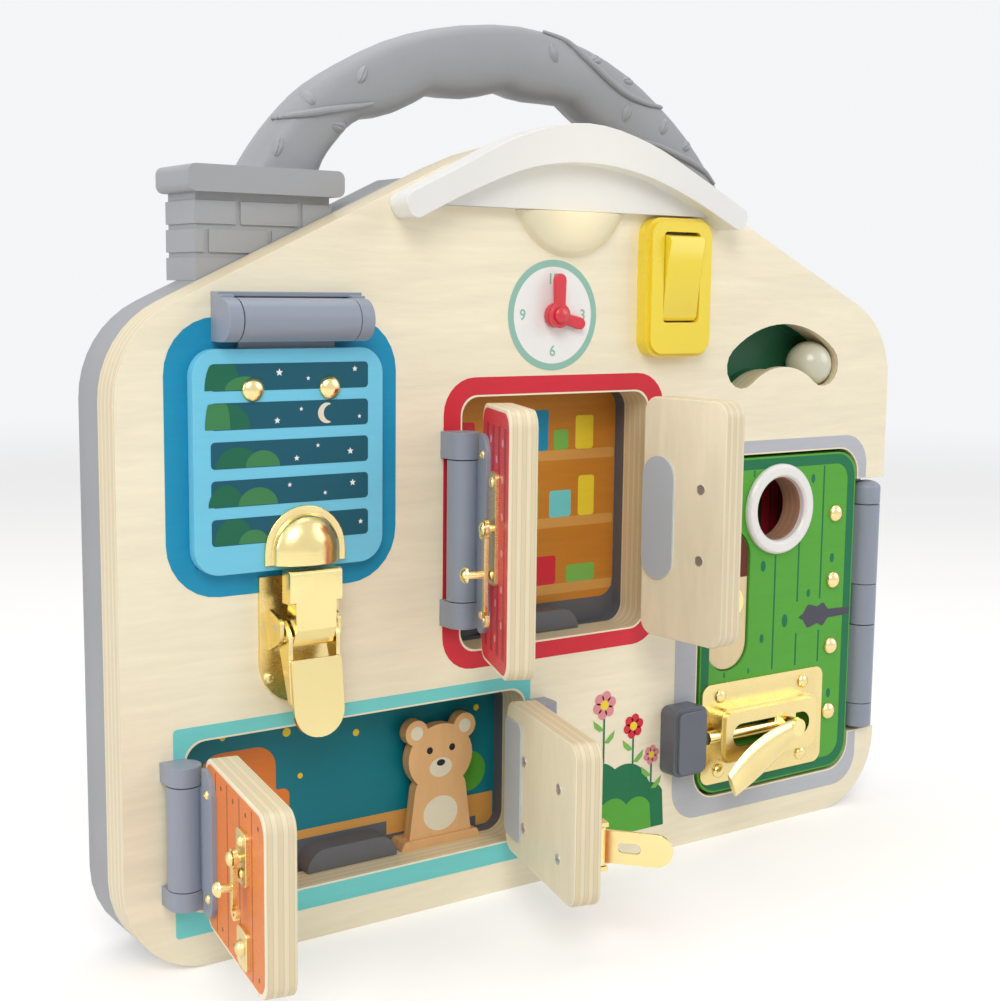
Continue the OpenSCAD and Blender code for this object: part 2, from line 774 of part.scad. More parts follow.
// Plate on the wood with two ears and two fixing rivets
module latch_base() {
  top = shutter_box[2] - 3;
  low = 115;
  color([0.85, 0.72, 0.38])
    difference() {
      union() {
        slab(front_y - 1.5, front_y)
          polygon(concat([[latch_x + latch_w, top], [latch_x - latch_w, top]],
            [for (i = [0:16]) let (a = 180 + 180 * i / 16)
              [latch_x, low] + latch_w * [cos(a), sin(a)]]));
        for (s = [-1, 1])
          translate([latch_x + 12.2 * s, 0, 0])
            rotate([90, 0, 90])
              linear_extrude(1.6, center = true)
                polygon(rounded([[front_y, latch_p0[1] - 10], [front_y, latch_p0[1] + 7],
                  [latch_p0[0] - 4.5, latch_p0[1] + 3.5], [latch_p0[0] - 4.5, latch_p0[1] - 5]],
                  [0, 0, 3.5, 4]));
      }
      rod_x(latch_x - 14, latch_x + 14, latch_p0[0], latch_p0[1], pin_r);
    }
  color([0.85, 0.72, 0.38])
    for (s = [-1, 1])
      dome_head(latch_x + 13.6 * s, front_y - 1.5, 109, 2.2, 1.4);
}

// Cam lever: two cheeks behind a long finger plate with a round end
module latch_lever() {
  p0 = latch_p0;
  p1 = latch_p1;
  color([0.87, 0.75, 0.42]) {
    for (s = [-1, 1])
      difference() {
        translate([latch_x + 10.1 * s, 0, 0])
          rotate([90, 0, 90])
            linear_extrude(1.8, center = true)
              polygon([[p0[0] - 2.5, p0[1] + 3], [p0[0] + 2.5, p0[1] + 3], [p0[0] + 3.4, p0[1]],
                [p0[0] + 2.5, p0[1] - 3], [p1[0] + 3, p1[1] - 8], [p1[0] - 2.6, p1[1] - 24],
                [p1[0] - 5, p1[1] - 24], [p1[0] - 3.5, p1[1] - 9], [p1[0] - 3.5, p1[1] + 1],
                [p1[0] - 2, p1[1] + 3.5]]);
        rod_x(latch_x - 14, latch_x + 14, p0[0], p0[1], pin_r + pin_gap);
        rod_x(latch_x - 14, latch_x + 14, p1[0], p1[1], pin_r);
      }
    translate([latch_x, p1[0] - 3, p1[1] - 7.5])
      rotate([-7, 0, 0])
        slab(-2, 0)
          polygon(rounded([[-10.7, -30], [10.7, -30], [10.7, 0], [-10.7, 0]], [10.4, 10.4, 1, 1]));
    // studs of the hasp, fixed in the cheeks
    for (s = [-1, 1])
      rod_x(latch_x + min(7 * s, 10 * s), latch_x + max(7 * s, 10 * s), p1[0], p1[1], pin_r);
  }
}

// Hasp: an open box on the lever's studs that widens into a head under the catch
module latch_hasp() {
  p1 = latch_p1;
  top = shutter_box[2] + 0.4;
  head = p1[1] + 14;
  color([0.88, 0.77, 0.45])
    difference() {
      translate([latch_x, 0, 0])
        rotate([90, 0, 90]) {
          linear_extrude(17, center = true)
            polygon(rounded([[p1[0] - 5, head + 1], [p1[0] - 5, p1[1] + 4],
              [p1[0] - 1.5, p1[1] - 3], [p1[0] + 3, p1[1] - 3], [p1[0] + 3, p1[1] + 6],
              [p1[0] + 1.5, head + 1]], [0, 2, 1.5, 2.5, 2, 0]));
          linear_extrude(22, center = true)
            polygon(rounded([[p1[0] - 5, top], [p1[0] - 5, head], [p1[0] + 1.5, head],
              [p1[0] + 1.5, top]], [1.5, 1, 0, 0]));
        }
      translate([latch_x, 0, 0])
        rotate([90, 0, 90]) {
          linear_extrude(12, center = true)
            polygon([[p1[0] - 3, top - 1.5], [p1[0] - 3, p1[1] + 5], [p1[0] + 8, p1[1] + 5],
              [p1[0] + 8, top - 1.5]]);
          linear_extrude(18.5, center = true)
            polygon([[p1[0] - 3.4, top - 1.5], [p1[0] - 3.4, head + 1.5], [p1[0] + 8, head + 1.5],
              [p1[0] + 8, top - 1.5]]);
        }
      rod_x(latch_x - 14, latch_x + 14, p1[0], p1[1], pin_r + pin_gap);
    }
}

// ---------------------------------------------------------------- window leaves

function leaf_box(w, side) =
  let (mid = (w[0] + w[1]) / 2)
  side < 0 ? [w[0] + 1, mid - 0.5, w[2] + 0.8, w[3] - 0.8] : [mid + 0.5, w[1] - 1, w[2] + 0.8, w[3] - 0.8];

// Turns a leaf about its hinge; side -1 is hinged on the left
module open_leaf(hinge_x, side, angle) {
  swing(hinge_x, hinge_y, side * angle)
    children();
}

module leaf_panel(w, side, r) {
  slab(leaf_y, leaf_y + leaf_t) rbox(leaf_box(w, side), r);
}

// Every fixed pivot: hinge pins, the rocker's pin and the studs of the latch lever
module pivot_pins() {
  color([0.75, 0.75, 0.78]) {
    for (x = upper_hinge_x) leaf_hinge_pin(x, upper_hinge_z);
    for (x = lower_hinge_x) leaf_hinge_pin(x, lower_hinge_z);
    rod_z(door_hinge_z[0] + 3.3, door_hinge_z[1] - 3.3, door_hinge[0], door_hinge[1], pin_r);
    rod_x(shutter_ends[0] + 2.3, shutter_ends[1] - 2.3, shutter_axis[0], shutter_axis[1], pin_r);
    rod_x(switch_c[0] - 13.8, switch_c[0] + 13.8, front_y - 4, switch_c[1], pin_r);
    for (s = [-1, 1])
      rod_x(latch_x + min(8.8 * s, 13 * s), latch_x + max(8.8 * s, 13 * s),
        latch_p0[0], latch_p0[1], pin_r);
  }
}

module upper_hinge_brackets() {
  color([0.6, 0.64, 0.68])
    for (i = [0, 1])
      hinge_feet(upper_hinge_x[i], 2 * i - 1, upper_hinge_z);
}

module lower_hinge_brackets() {
  color([0.6, 0.64, 0.68])
    for (i = [0, 1])
      hinge_feet(lower_hinge_x[i], 2 * i - 1, lower_hinge_z);
}

module upper_left_leaf() {
  color([0.9, 0.78, 0.56])
    open_leaf(upper_hinge_x[0], -1, upper_left_open) leaf_panel(upper_win, -1, 7);
}

module upper_left_hinge() {
  color([0.6, 0.64, 0.68])
    open_leaf(upper_hinge_x[0], -1, upper_left_open)
      leaf_hinge(upper_hinge_x[0], -1, upper_hinge_z);
}

module upper_right_leaf() {
  color([0.9, 0.78, 0.56])
    open_leaf(upper_hinge_x[1], 1, upper_right_open) leaf_panel(upper_win, 1, 7);
}

module upper_right_hinge() {
  color([0.6, 0.64, 0.68])
    open_leaf(upper_hinge_x[1], 1, upper_right_open)
      leaf_hinge(upper_hinge_x[1], 1, upper_hinge_z);
}

module lower_left_leaf() {
  color([0.9, 0.78, 0.56])
    open_leaf(lower_hinge_x[0], -1, lower_left_open) leaf_panel(lower_win, -1, 7);
}

module lower_left_hinge() {
  color([0.6, 0.64, 0.68])
    open_leaf(lower_hinge_x[0], -1, lower_left_open)
      leaf_hinge(lower_hinge_x[0], -1, lower_hinge_z);
}

module lower_right_leaf() {
  color([0.9, 0.78, 0.56])
    open_leaf(lower_hinge_x[1], 1, lower_right_open) leaf_panel(lower_win, 1, 7);
}

module lower_right_hinge() {
  color([0.6, 0.64, 0.68])
    open_leaf(lower_hinge_x[1], 1, lower_right_open)
      leaf_hinge(lower_hinge_x[1], 1, lower_hinge_z);
}

// ---------------------------------------------------------------- hooks on the leaves

hook_c = [-27, 165];
keeper_x = 8;
lower_hook_c = [-122, 66];
hasp_c = [-86, 44];

// Flat arm that hangs from c, ending in an open hook; length is from pivot to keeper
module hook_arm(c, length, w, y0, y1) {
  difference() {
    slab(y0, y1)
      polygon(concat(
        [for (i = [0:10]) let (a = -60 + 300 * i / 10) c + 1.1 * w * [cos(a), sin(a)]],
        [c + [-w / 2, -2 * w], c + [-w / 2, -length + 2]],
        [for (i = [0:8]) let (a = 180 + 210 * i / 8) c + [w / 2, -length] + w * [cos(a), sin(a)]],
        [for (i = [0:6]) let (a = 20 - 200 * i / 6)
          c + [w / 2, -length] + 0.5 * w * [cos(a), sin(a)]],
        [c + [w / 2, -length + 3], c + [w / 2, -2 * w]]));
    rod_y(y0 - 1, y1 + 1, c[0], c[1], 1.65);
  }
}

// Plate with a screw at each end and a pivot stud at c, lying on the leaf
module hook_plate(c, half_w, half_h, stud_h) {
  slab(leaf_y - 1.5, leaf_y)
    rbox([c[0] - half_w, c[0] + half_w, c[1] - half_h, c[1] + half_h], 2.5);
  rod_y(leaf_y - stud_h, leaf_y - 1.5, c[0], c[1], 1.6);
  dome_head(c[0], leaf_y - stud_h, c[1], 2.8, 1.6);
  for (s = [-1, 1])
    dome_head(c[0], leaf_y - 1.5, c[1] + s * (half_h - 4), 2.2, 1.3);
}

module window_hook_plate() {
  color([0.85, 0.72, 0.38])
    open_leaf(upper_hinge_x[0], -1, upper_left_open) hook_plate(hook_c, 6, 22, 5);
}

module window_hook() {
  color([0.88, 0.77, 0.45])
    open_leaf(upper_hinge_x[0], -1, upper_left_open) {
      hook_arm(hook_c, 35, 3.6, leaf_y - 4.7, leaf_y - 3);
      rod_y(leaf_y - 11, leaf_y - 4.7, hook_c[0], hook_c[1] - 18, 1.7);
      dome_head(hook_c[0], leaf_y - 11, hook_c[1] - 18, 3.4, 3);
    }
}

module window_hook_keeper() {
  color([0.85, 0.72, 0.38])
    open_leaf(upper_hinge_x[1], 1, upper_right_open) {
      slab(leaf_y - 1.5, leaf_y)
        rbox([keeper_x - 5, keeper_x + 5, hook_c[1] - 11, hook_c[1] + 11], 2.5);
      rod_y(leaf_y - 7, leaf_y - 1.5, keeper_x, hook_c[1] + 1.8, 1.5);
      dome_head(keeper_x, leaf_y - 7, hook_c[1] + 1.8, 2.8, 2);
      for (s = [-1, 1])
        dome_head(keeper_x, leaf_y - 1.5, hook_c[1] + 8 * s, 2, 1.2);
    }
}

module lower_hook_plate() {
  color([0.85, 0.72, 0.38])
    open_leaf(lower_hinge_x[0], -1, lower_left_open) {
      hook_plate(lower_hook_c, 6, 9.5, 5);
      // staple for the hasp of the other leaf
      slab(leaf_y - 1.5, leaf_y)
        rbox([lower_hook_c[0] - 6, lower_hook_c[0] + 6, 27, 41], 2.5);
      dome_head(lower_hook_c[0], leaf_y - 1.5, 34, 3, 2.4);
    }
}

module lower_hook() {
  color([0.88, 0.77, 0.45])
    open_leaf(lower_hinge_x[0], -1, lower_left_open) {
      hook_arm(lower_hook_c, 18, 3.2, leaf_y - 4.7, leaf_y - 3);
      rod_y(leaf_y - 9, leaf_y - 4.7, lower_hook_c[0], lower_hook_c[1] - 10, 1.5);
      dome_head(lower_hook_c[0], leaf_y - 9, lower_hook_c[1] - 10, 2.8, 2.4);
    }
}

// Plate and ears of the hasp on the lower right leaf; the hasp turns on their upright pin
module lower_hasp_plate() {
  color([0.85, 0.72, 0.38])
    open_leaf(lower_hinge_x[1], 1, lower_right_open) {
      slab(leaf_y - 1.5, leaf_y)
        rbox([hasp_c[0] - 3, hasp_c[0] + 11, hasp_c[1] - 12, hasp_c[1] + 12], 2);
      for (s = [-1, 1])
        difference() {
          translate([hasp_c[0] - 2.5, leaf_y - 6.5, hasp_c[1] + 8.8 * s - 0.9])
            cube([5, 5.2, 1.8]);
          rod_z(hasp_c[1] - 12, hasp_c[1] + 12, hasp_c[0], leaf_y - 4, 1.2);
        }
      rod_z(hasp_c[1] - 9.7, hasp_c[1] + 9.7, hasp_c[0], leaf_y - 4, 1.2);
      for (s = [-1, 1])
        dome_head(hasp_c[0] + 7.5, leaf_y - 1.5, hasp_c[1] + 8 * s, 2, 1.2);
    }
}

hasp_stand = 55;

// Slotted strap, standing off the leaf at rest
module lower_hasp() {
  y = leaf_y - 4;
  color([0.88, 0.77, 0.45])
    open_leaf(lower_hinge_x[1], 1, lower_right_open)
      translate([hasp_c[0], y, hasp_c[1]])
        rotate([0, 0, hasp_stand])
          difference() {
            union() {
              rod_z(-7.6, 7.6, 0, 0, 2.2);
              slab(-0.9, 0.7)
                polygon(concat([[0, -6.5], [0, 6.5]],
                  [for (i = [0:10]) let (a = 90 + 18 * i) [-22, 0] + 6.5 * [cos(a), sin(a)]]));
              dome_head(-22, -0.9, 0, 3.4, 3);
            }
            rod_z(-10, 10, 0, 0, 1.25);
            slab(-2, 2) rbox([-16, -7, -2, 2], 1.9);
          }
}

// ---------------------------------------------------------------- green door

door_box = [80, 179.5, 22, 180];
porthole_c = [127, 155];
lock_c = [97, 113];
rivet_x = 166;
rivet_z = [51, 84, 117, 150];
slide_y = leaf_y - 4.2;
slide_z = 51;

module door() {
  b = door_box;
  color([0.3, 0.62, 0.32])
    difference() {
      slab(leaf_y, leaf_y + door_t) rbox(b, 12);
      rod_y(leaf_y - 1, leaf_y + door_t + 1, porthole_c[0], porthole_c[1], 17);
      // recess of the lock plate
      slab(leaf_y - 1, leaf_y + 3) rbox([lock_c[0] - 13, lock_c[0] + 13, 80, 147], 12.9);
      rod_y(leaf_y - 1, leaf_y + door_t + 1, lock_c[0], lock_c[1], 9.2);
      for (z = rivet_z)
        rod_y(leaf_y - 1, leaf_y + door_t + 1, rivet_x, z, 1.6);
    }
}

// Leaf of the corner hinge: a plate behind the door, cranked round its edge to the barrel
module door_hinge_leaf() {
  back = leaf_y + door_t;
  x = door_hinge[0];
  y = door_hinge[1];
  color([0.6, 0.64, 0.68])
    difference() {
      union() {
        knuckles(x, y, door_hinge_z, door_split, 1, door_barrel_r);
        for (i = [1, 3])
          let (k = knuckle(door_hinge_z, door_split, i))
          translate([0, 0, k[0]])
            linear_extrude(k[1] - k[0])
              polygon([[x - 14, back], [x - 14, back + 2.5], [x - 7.6, back + 2.5],
                [x - 6.9, y + 5], [x - 3, y + 4], [x - 3, y - 1], [x - 6.8, y - 1],
                [x - 9.7, y + 4], [x - 9.7, back]]);
        slab(back, back + 2.5)
          rbox([rivet_x - 12, x - 12, rivet_z[0] - 8, rivet_z[3] + 8], 4);
      }
      rod_z(door_hinge_z[0] + 3, door_hinge_z[1] - 3, x, y, pin_r + pin_gap);
      for (z = rivet_z)
        rod_y(back - 1, back + 4, rivet_x, z, 1.6);
    }
}

// Fixed half: a cranked bracket in the corner notch
module door_hinge_bracket() {
  x = door_hinge[0];
  y = door_hinge[1];
  color([0.6, 0.64, 0.68])
    difference() {
      union() {
        knuckles(x, y, door_hinge_z, door_split, 0, door_barrel_r);
        // rounded cap of the top knuckle
        translate([x, y, door_hinge_z[1] - 0.2])
          rotate_extrude()
            polygon(concat([[0, 0]], dome_curve(door_barrel_r, 3.5)));
        for (i = [0, 2, 4])
          let (k = knuckle(door_hinge_z, door_split, i))
          translate([x - 4, y + 3, k[0]])
            cube([12, 7, k[1] - k[0]]);
        translate([x - 5.5, y + 7.6, door_hinge_z[0] - 1.5])
          cube([board_w / 2 - x + 5.5, mid_y - y - 7.6, door_hinge_z[1] - door_hinge_z[0] + 3]);
      }
      rod_z(door_hinge_z[0] + 3, door_hinge_z[1] - 3, x, y, pin_r + pin_gap);
    }
}

module door_rivets() {
  color([0.85, 0.72, 0.38]) {
    for (z = rivet_z) {
      rod_y(leaf_y, leaf_y + door_t + 2.5, rivet_x, z, 1.6);
      dome_head(rivet_x, leaf_y, z, 4.4, 3);
    }
    for (x = [slide_box[0] + 11, slide_box[1] - 14], z = [slide_box[2] + 6, slide_box[3] - 6])
      dome_head(x, leaf_y - 1.5, z, 3.4, 2.2);
  }
}

module porthole_ring() {
  color([0.97, 0.96, 0.93])
    translate([porthole_c[0], leaf_y + door_t, porthole_c[1]])
      rotate([90, 0, 0])
        rotate_extrude($fn = 96)
          polygon([[15.2, 0], [16.8, 0], [16.8, door_t], [21.5, door_t], [21.5, door_t + 2],
            [20.3, door_t + 3.2], [16.4, door_t + 3.2], [15.2, door_t + 2]]);
}

module lock_plate() {
  color([0.86, 0.72, 0.5])
    difference() {
      slab(leaf_y + 1, leaf_y + 3) rbox([lock_c[0] - 12.6, lock_c[0] + 12.6, 80.4, 146.6], 12.5);
      rod_y(leaf_y, leaf_y + 4, lock_c[0], lock_c[1], 9.2);
    }
}

// Plug with a keyway in front and a cam behind, the cam upright when unlocked
module lock_cylinder() {
  color([0.86, 0.74, 0.42])
    difference() {
      union() {
        rod_y(leaf_y - 0.5, mid_y + 0.8, lock_c[0], lock_c[1], 9);
        rod_y(leaf_y - 1.8, leaf_y - 0.5, lock_c[0], lock_c[1], 8);
        slab(mid_y + 0.8, mid_y + 2.8)
          rbox([lock_c[0] - 4, lock_c[0] + 4, lock_c[1] - 5, lock_c[1] + 22], 3);
      }
      translate([lock_c[0] - 1.1, leaf_y - 3, lock_c[1] - 4.5])
        cube([2.2, 11, 9]);
    }
}

// ---------------------------------------------------------------- sliding bolt

slide_box = [81, 160, 27, 75];

module slide_frame() {
  inner = [91, 147, 41, 61];
  color([0.88, 0.77, 0.45])
    difference() {
      union() {
        slab(leaf_y - 1.5, leaf_y) rbox(slide_box, 5);
        slab(leaf_y - 7.5, leaf_y - 1.5) rbox(inner, 5, 3);
        slab(leaf_y - 9, leaf_y - 7.5) rbox(inner, 3.5, 1.5);
      }
      slab(leaf_y - 7.5, leaf_y + 1) rbox(inner, 2);
      slab(leaf_y - 10, leaf_y - 7) rbox([94, 144, slide_z - 5.5, slide_z + 5.5], 5.4);
      rod_x(80, 92, slide_y, slide_z, 3.3);
    }
}

// Round bolt with a guide block and a paddle that leans down to the left
module slide_bolt() {
  grip_x = 131;
  color([0.85, 0.74, 0.42]) {
    rod_x(slide_box[0] + 0.5, grip_x, slide_y, slide_z, 3.2);
    slab(slide_y - 2.6, slide_y + 2.6)
      rbox([grip_x - 8, grip_x + 6, slide_z - 8, slide_z + 8], 2);
    rod_y(leaf_y - 15, slide_y, grip_x, slide_z, 4.3);
    skin([for (i = [0:7])
      let (u = i / 7, w = 4 + 4.5 * sin(150 * u), h = 2.6 - 1.2 * u)
      let (c = [grip_x + 3 - 50 * u, leaf_y - 12.5 - 7 * u * u, slide_z + 1 - 20 * u])
      [for (j = [0:11]) let (a = -30 * j)
        c + [0.4 * w * cos(a), h * sin(a), -0.92 * w * cos(a)]]]);
  }
}

module bolt_strike() {
  color([0.35, 0.37, 0.4])
    difference() {
      union() {
        slab(front_y - 10, front_y) rbox([57, 76.5, 37, 69], 4);
        slab(front_y - 12, front_y - 10) rbox([58.5, 75, 38.5, 67.5], 3);
      }
      // pocket that takes the end of the bolt
      translate([61, slide_y - 3.5, slide_z - 3.5])
        cube([17, 7, 7]);
    }
}

// ---------------------------------------------------------------- key and lanyard

key_x = board_w / 2 + 3.3;
key_y = 6;
key_z = 192;
cord_r = 1.5;
cord_route = [
  [203, 0, 134], [203, 0, 122], [203, 0, 112], [203, 1.2, 104.5], [203, 4.2, 101],
  [203, 7.75, 99.8], [203, 11.3, 101], [203, 14.3, 104.5], [203, 15.5, 112], [203, 15.5, 126],
  [203, 15.5, 142], [203, 15.5, 158], [203, 15.5, 172], [203.2, 15.2, 182], [203.3, 14, 189]
];

module lanyard_clip() {
  color([0.3, 0.33, 0.36])
    difference() {
      union() {
        translate([board_w / 2, key_y - 7, 150])
          cube([7, 14, 24]);
        translate([board_w / 2, -3.5, 134])
          cube([6, 7, 8]);
      }
      translate([key_x - 1.3, key_y - 4.4, 152])
        cube([2.6, 8.8, 30]);
    }
}

// Small flat key, held upright by its blade
module key() {
  color([0.85, 0.62, 0.4])
    translate([key_x - 1, 0, 0])
      rotate([90, 0, 90])
        linear_extrude(2)
          difference() {
            polygon(concat(
              [for (i = [0:20]) let (a = -70 + 16 * i) [key_y, key_z] + 9 * [cos(a), sin(a)]],
              [[key_y - 3, 180], [key_y - 4, 177], [key_y - 4, 156], [key_y - 1, 153],
                [key_y + 2, 155], [key_y + 4, 160], [key_y + 2.2, 164], [key_y + 4, 167],
                [key_y + 2.6, 170], [key_y + 4, 172], [key_y + 4, 177], [key_y + 3, 180]]));
            translate([key_y, key_z + 1.5]) circle(5.4);
          }
}

module lanyard() {
  n = 30;
  last = len(cord_route) - 1;
  color([0.1, 0.6, 0.4]) {
    skin([for (i = [0:n])
      let (t = last * i / n, p = smooth(cord_route, t))
      let (q = smooth(cord_route, min(last, t + 0.05)), o = smooth(cord_route, max(0, t - 0.05)))
      let (d = unit(q - o), u = unit(cross(d, [1, 0, 0])), v = cross(d, u))
      [for (j = [0:7]) p + cord_r * (cos(45 * j) * u - sin(45 * j) * v)]]);
  }
}

front_board();
rear_housing();
battery_door();
battery_cells();
battery_contacts();
housing_screws();
handle_front();
handle_back();
chimney();
roof_cover();
lamp_dome();
lamp_board();
switch_plate();
rocker();
switch_body();
pivot_pins();
clock_spindle();
minute_hand();
hour_hand();
ball();
ball_track();
recess_trays();
figure();
shutter();
shutter_hinge_bracket();
shutter_hinge_leaf();
shutter_fittings();
latch_base();
latch_lever();
latch_hasp();
upper_hinge_brackets();
upper_left_leaf();
upper_left_hinge();
upper_right_leaf();
upper_right_hinge();
window_hook_plate();
window_hook();
window_hook_keeper();
lower_hinge_brackets();
lower_left_leaf();
lower_left_hinge();
lower_right_leaf();
lower_right_hinge();
lower_hook_plate();
lower_hook();
lower_hasp_plate();
lower_hasp();
door();
door_hinge_leaf();
door_hinge_bracket();
door_rivets();
porthole_ring();
lock_plate();
lock_cylinder();
slide_frame();
slide_bolt();
bolt_strike();
lanyard_clip();
key();
lanyard();
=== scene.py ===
"""Wooden busy board: finishes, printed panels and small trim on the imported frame.

X runs to the right, the front faces -Y, Z is up. The frame is in metres; outlines and
meshes are drawn in millimetres, and scaled when a piece is finished.
"""
import math

import bmesh
import bpy
from mathutils import Matrix, Vector
from mathutils.geometry import tessellate_polygon


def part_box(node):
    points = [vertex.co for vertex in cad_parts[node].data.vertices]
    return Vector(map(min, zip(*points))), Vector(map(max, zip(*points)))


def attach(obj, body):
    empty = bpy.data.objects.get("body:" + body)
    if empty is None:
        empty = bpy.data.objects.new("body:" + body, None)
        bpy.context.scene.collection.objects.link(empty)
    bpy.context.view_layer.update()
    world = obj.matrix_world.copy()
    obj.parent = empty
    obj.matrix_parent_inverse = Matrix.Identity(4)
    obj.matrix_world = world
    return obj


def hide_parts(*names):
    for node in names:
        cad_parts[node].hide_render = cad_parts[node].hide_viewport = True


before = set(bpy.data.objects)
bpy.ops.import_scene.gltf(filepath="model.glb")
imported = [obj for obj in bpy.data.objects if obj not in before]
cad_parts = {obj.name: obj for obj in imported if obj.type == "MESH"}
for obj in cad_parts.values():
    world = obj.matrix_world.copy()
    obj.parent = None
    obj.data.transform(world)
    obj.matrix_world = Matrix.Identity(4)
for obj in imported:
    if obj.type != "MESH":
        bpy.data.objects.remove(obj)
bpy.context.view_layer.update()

bl_info = {
    "name": "Wooden Busy Board",
    "version": (1, 0, 0),
    "blender": (4, 5, 0),
    "location": "3D View > Sidebar > Busy Board",
    "description": "Dresses a house-shaped wooden busy board with paint, prints and trim",
    "category": "Object",
}

MM = 0.001
FRONT = -22.0  # front face of the plywood
LEAF = -22.3  # front face of every leaf and of the door
LEAF_T = 11.0  # thickness of a leaf, and of the door
DOOR_T = 12.0
HINGE_Y = -29.0  # axis of the leaves' hinges
CREASE = math.radians(35)  # edges sharper than this stay sharp in the shading
ROUNDED = math.radians(40)  # and edges sharper than this are rounded
WELD = 1e-6  # metres between points that are welded into one
CORNER_STEPS = 7  # pieces of a rounded corner
INK = 0.03  # thickness of a print that lies on another

# Openings in the wood: left, right, bottom, top
UPPER_WINDOW = (-53, 45, 108, 213)
LOWER_WINDOW = (-175, -20, 22, 88)
PORTHOLE = (127, 155)
LAMP = (0.0, -0.022, 0.292)  # middle of the lamp, in metres as the materials read it

# Leaves: hinge x, side of the hinge, angle at which the leaf stands open
LEAVES = {
    "upper_left_leaf": (-57, -1, 112),
    "upper_right_leaf": (49, 1, 95),
    "lower_left_leaf": (-179, -1, 100),
    "lower_right_leaf": (-16, 1, 75),
}

# Faces that are printed on: y, body, material slot
ON_BOARD = (FRONT, "board", "plywood")
ON_WINDOW_FLOOR = (0.0, "board", "tray_grey")
ON_DOOR_FLOOR = (10.0, "board", "tray_grey")
ON_SHUTTER = (LEAF - 5, "shutter", "shutter_paint")
ON_DOOR = (LEAF, "door", "door_paint")
ON_LOCK_PLATE = (LEAF + 1, "door", "lock_plate_wood")
ON_FIGURE = (LEAF + LEAF_T + 2, "board", "figure_wood")

GRAIN_SCALE = 9.0
# How far the grain is squeezed along X, Y and Z
GRAIN_ACROSS = (1.0, 8.0, 9.0)
GRAIN_UPRIGHT = (7.0, 7.0, 1.4)

MATERIALS = {}


# ---------------------------------------------------------------- node helpers

def linked(tree, node_type, inputs=None, **settings):
    """Adds a node, sets its properties, then fills or links its inputs."""
    node = tree.nodes.new(node_type)
    for name, value in settings.items():
        setattr(node, name, value)
    for key, value in (inputs or {}).items():
        socket = node.inputs[key]
        if isinstance(value, bpy.types.NodeSocket):
            tree.links.new(value, socket)
        else:
            socket.default_value = value
    return node


def maths(tree, operation, a, b=0.5, c=0.5):
    """Value that a Math node makes of two or three others."""
    return linked(tree, "ShaderNodeMath", {0: a, 1: b, 2: c}, operation=operation).outputs[0]


def vector_maths(tree, operation, a, b=(0.0, 0.0, 0.0)):
    """Vector of a product, or value of a distance, a length or a dot product."""
    outputs = linked(tree, "ShaderNodeVectorMath", {0: a, 1: b}, operation=operation).outputs
    return outputs["Vector" if operation == "MULTIPLY" else "Value"]


def mixed(tree, mask, a, b, amount=1.0):
    """Mixes two colours by a mask, at most by the amount."""
    if amount < 1.0:
        mask = maths(tree, "MULTIPLY", mask, amount)
    return linked(tree, "ShaderNodeMix", {0: mask, 6: a, 7: b}, data_type="RGBA").outputs[2]


def noise(tree, position, scale, detail, roughness=0.5, distortion=0.0):
    """Cloudy value at a position."""
    inputs = {"Vector": position, "Scale": scale, "Detail": detail, "Roughness": roughness,
              "Distortion": distortion}
    return linked(tree, "ShaderNodeTexNoise", inputs).outputs["Fac"]


def faded(tree, value, start, end, low=0.0, high=1.0):
    """Value that runs smoothly from low at the start to high at the end."""
    inputs = {"Value": value, "From Min": start, "From Max": end, "To Min": low, "To Max": high}
    return linked(tree, "ShaderNodeMapRange", inputs, interpolation_type="SMOOTHSTEP").outputs["Result"]


def ramp(tree, value, low, high):
    """Mask that is empty up to a low value and full from a high one."""
    node = linked(tree, "ShaderNodeValToRGB", {0: value})
    for element, position in zip(node.color_ramp.elements, (low, high)):
        element.position = position
    return node.outputs[0]


def new_group(name, inputs, outputs):
    """Node group with inputs of given defaults and outputs of values; returns its tree and both."""
    tree = bpy.data.node_groups.new(name, "ShaderNodeTree")
    for label, default in inputs.items():
        kind = "NodeSocketFloat" if isinstance(default, float) else "NodeSocketVector"
        tree.interface.new_socket(label, in_out="INPUT", socket_type=kind).default_value = default
    for label in outputs:
        tree.interface.new_socket(label, in_out="OUTPUT", socket_type="NodeSocketFloat")
    return tree, tree.nodes.new("NodeGroupInput").outputs, tree.nodes.new("NodeGroupOutput").inputs


def effect(tree, name, position, **values):
    """Places a shared effect in a material, with its own values; returns its outputs."""
    return linked(tree, "ShaderNodeGroup", {"Position": position, **values},
                  node_tree=bpy.data.node_groups[name]).outputs


def build_grain_group():
    """Long wood grain along one axis: Fibre is a fine streak mask, Figure a slow one."""
    tree, given, made = new_group(
        "wood_grain", {"Along": (6.0, 60.0, 6.0), "Scale": GRAIN_SCALE, "Position": (0.0, 0.0, 0.0)},
        ("Fibre", "Figure"))
    stretched = vector_maths(tree, "MULTIPLY", given["Position"], given["Along"])
    fibre = noise(tree, stretched, maths(tree, "MULTIPLY", given["Scale"], 5.0), 6.0, 0.62, 0.2)
    slow = noise(tree, stretched, given["Scale"], 3.0, 0.5, 1.1)
    tree.links.new(ramp(tree, fibre, 0.3, 0.72), made["Fibre"])
    tree.links.new(ramp(tree, slow, 0.32, 0.68), made["Figure"])


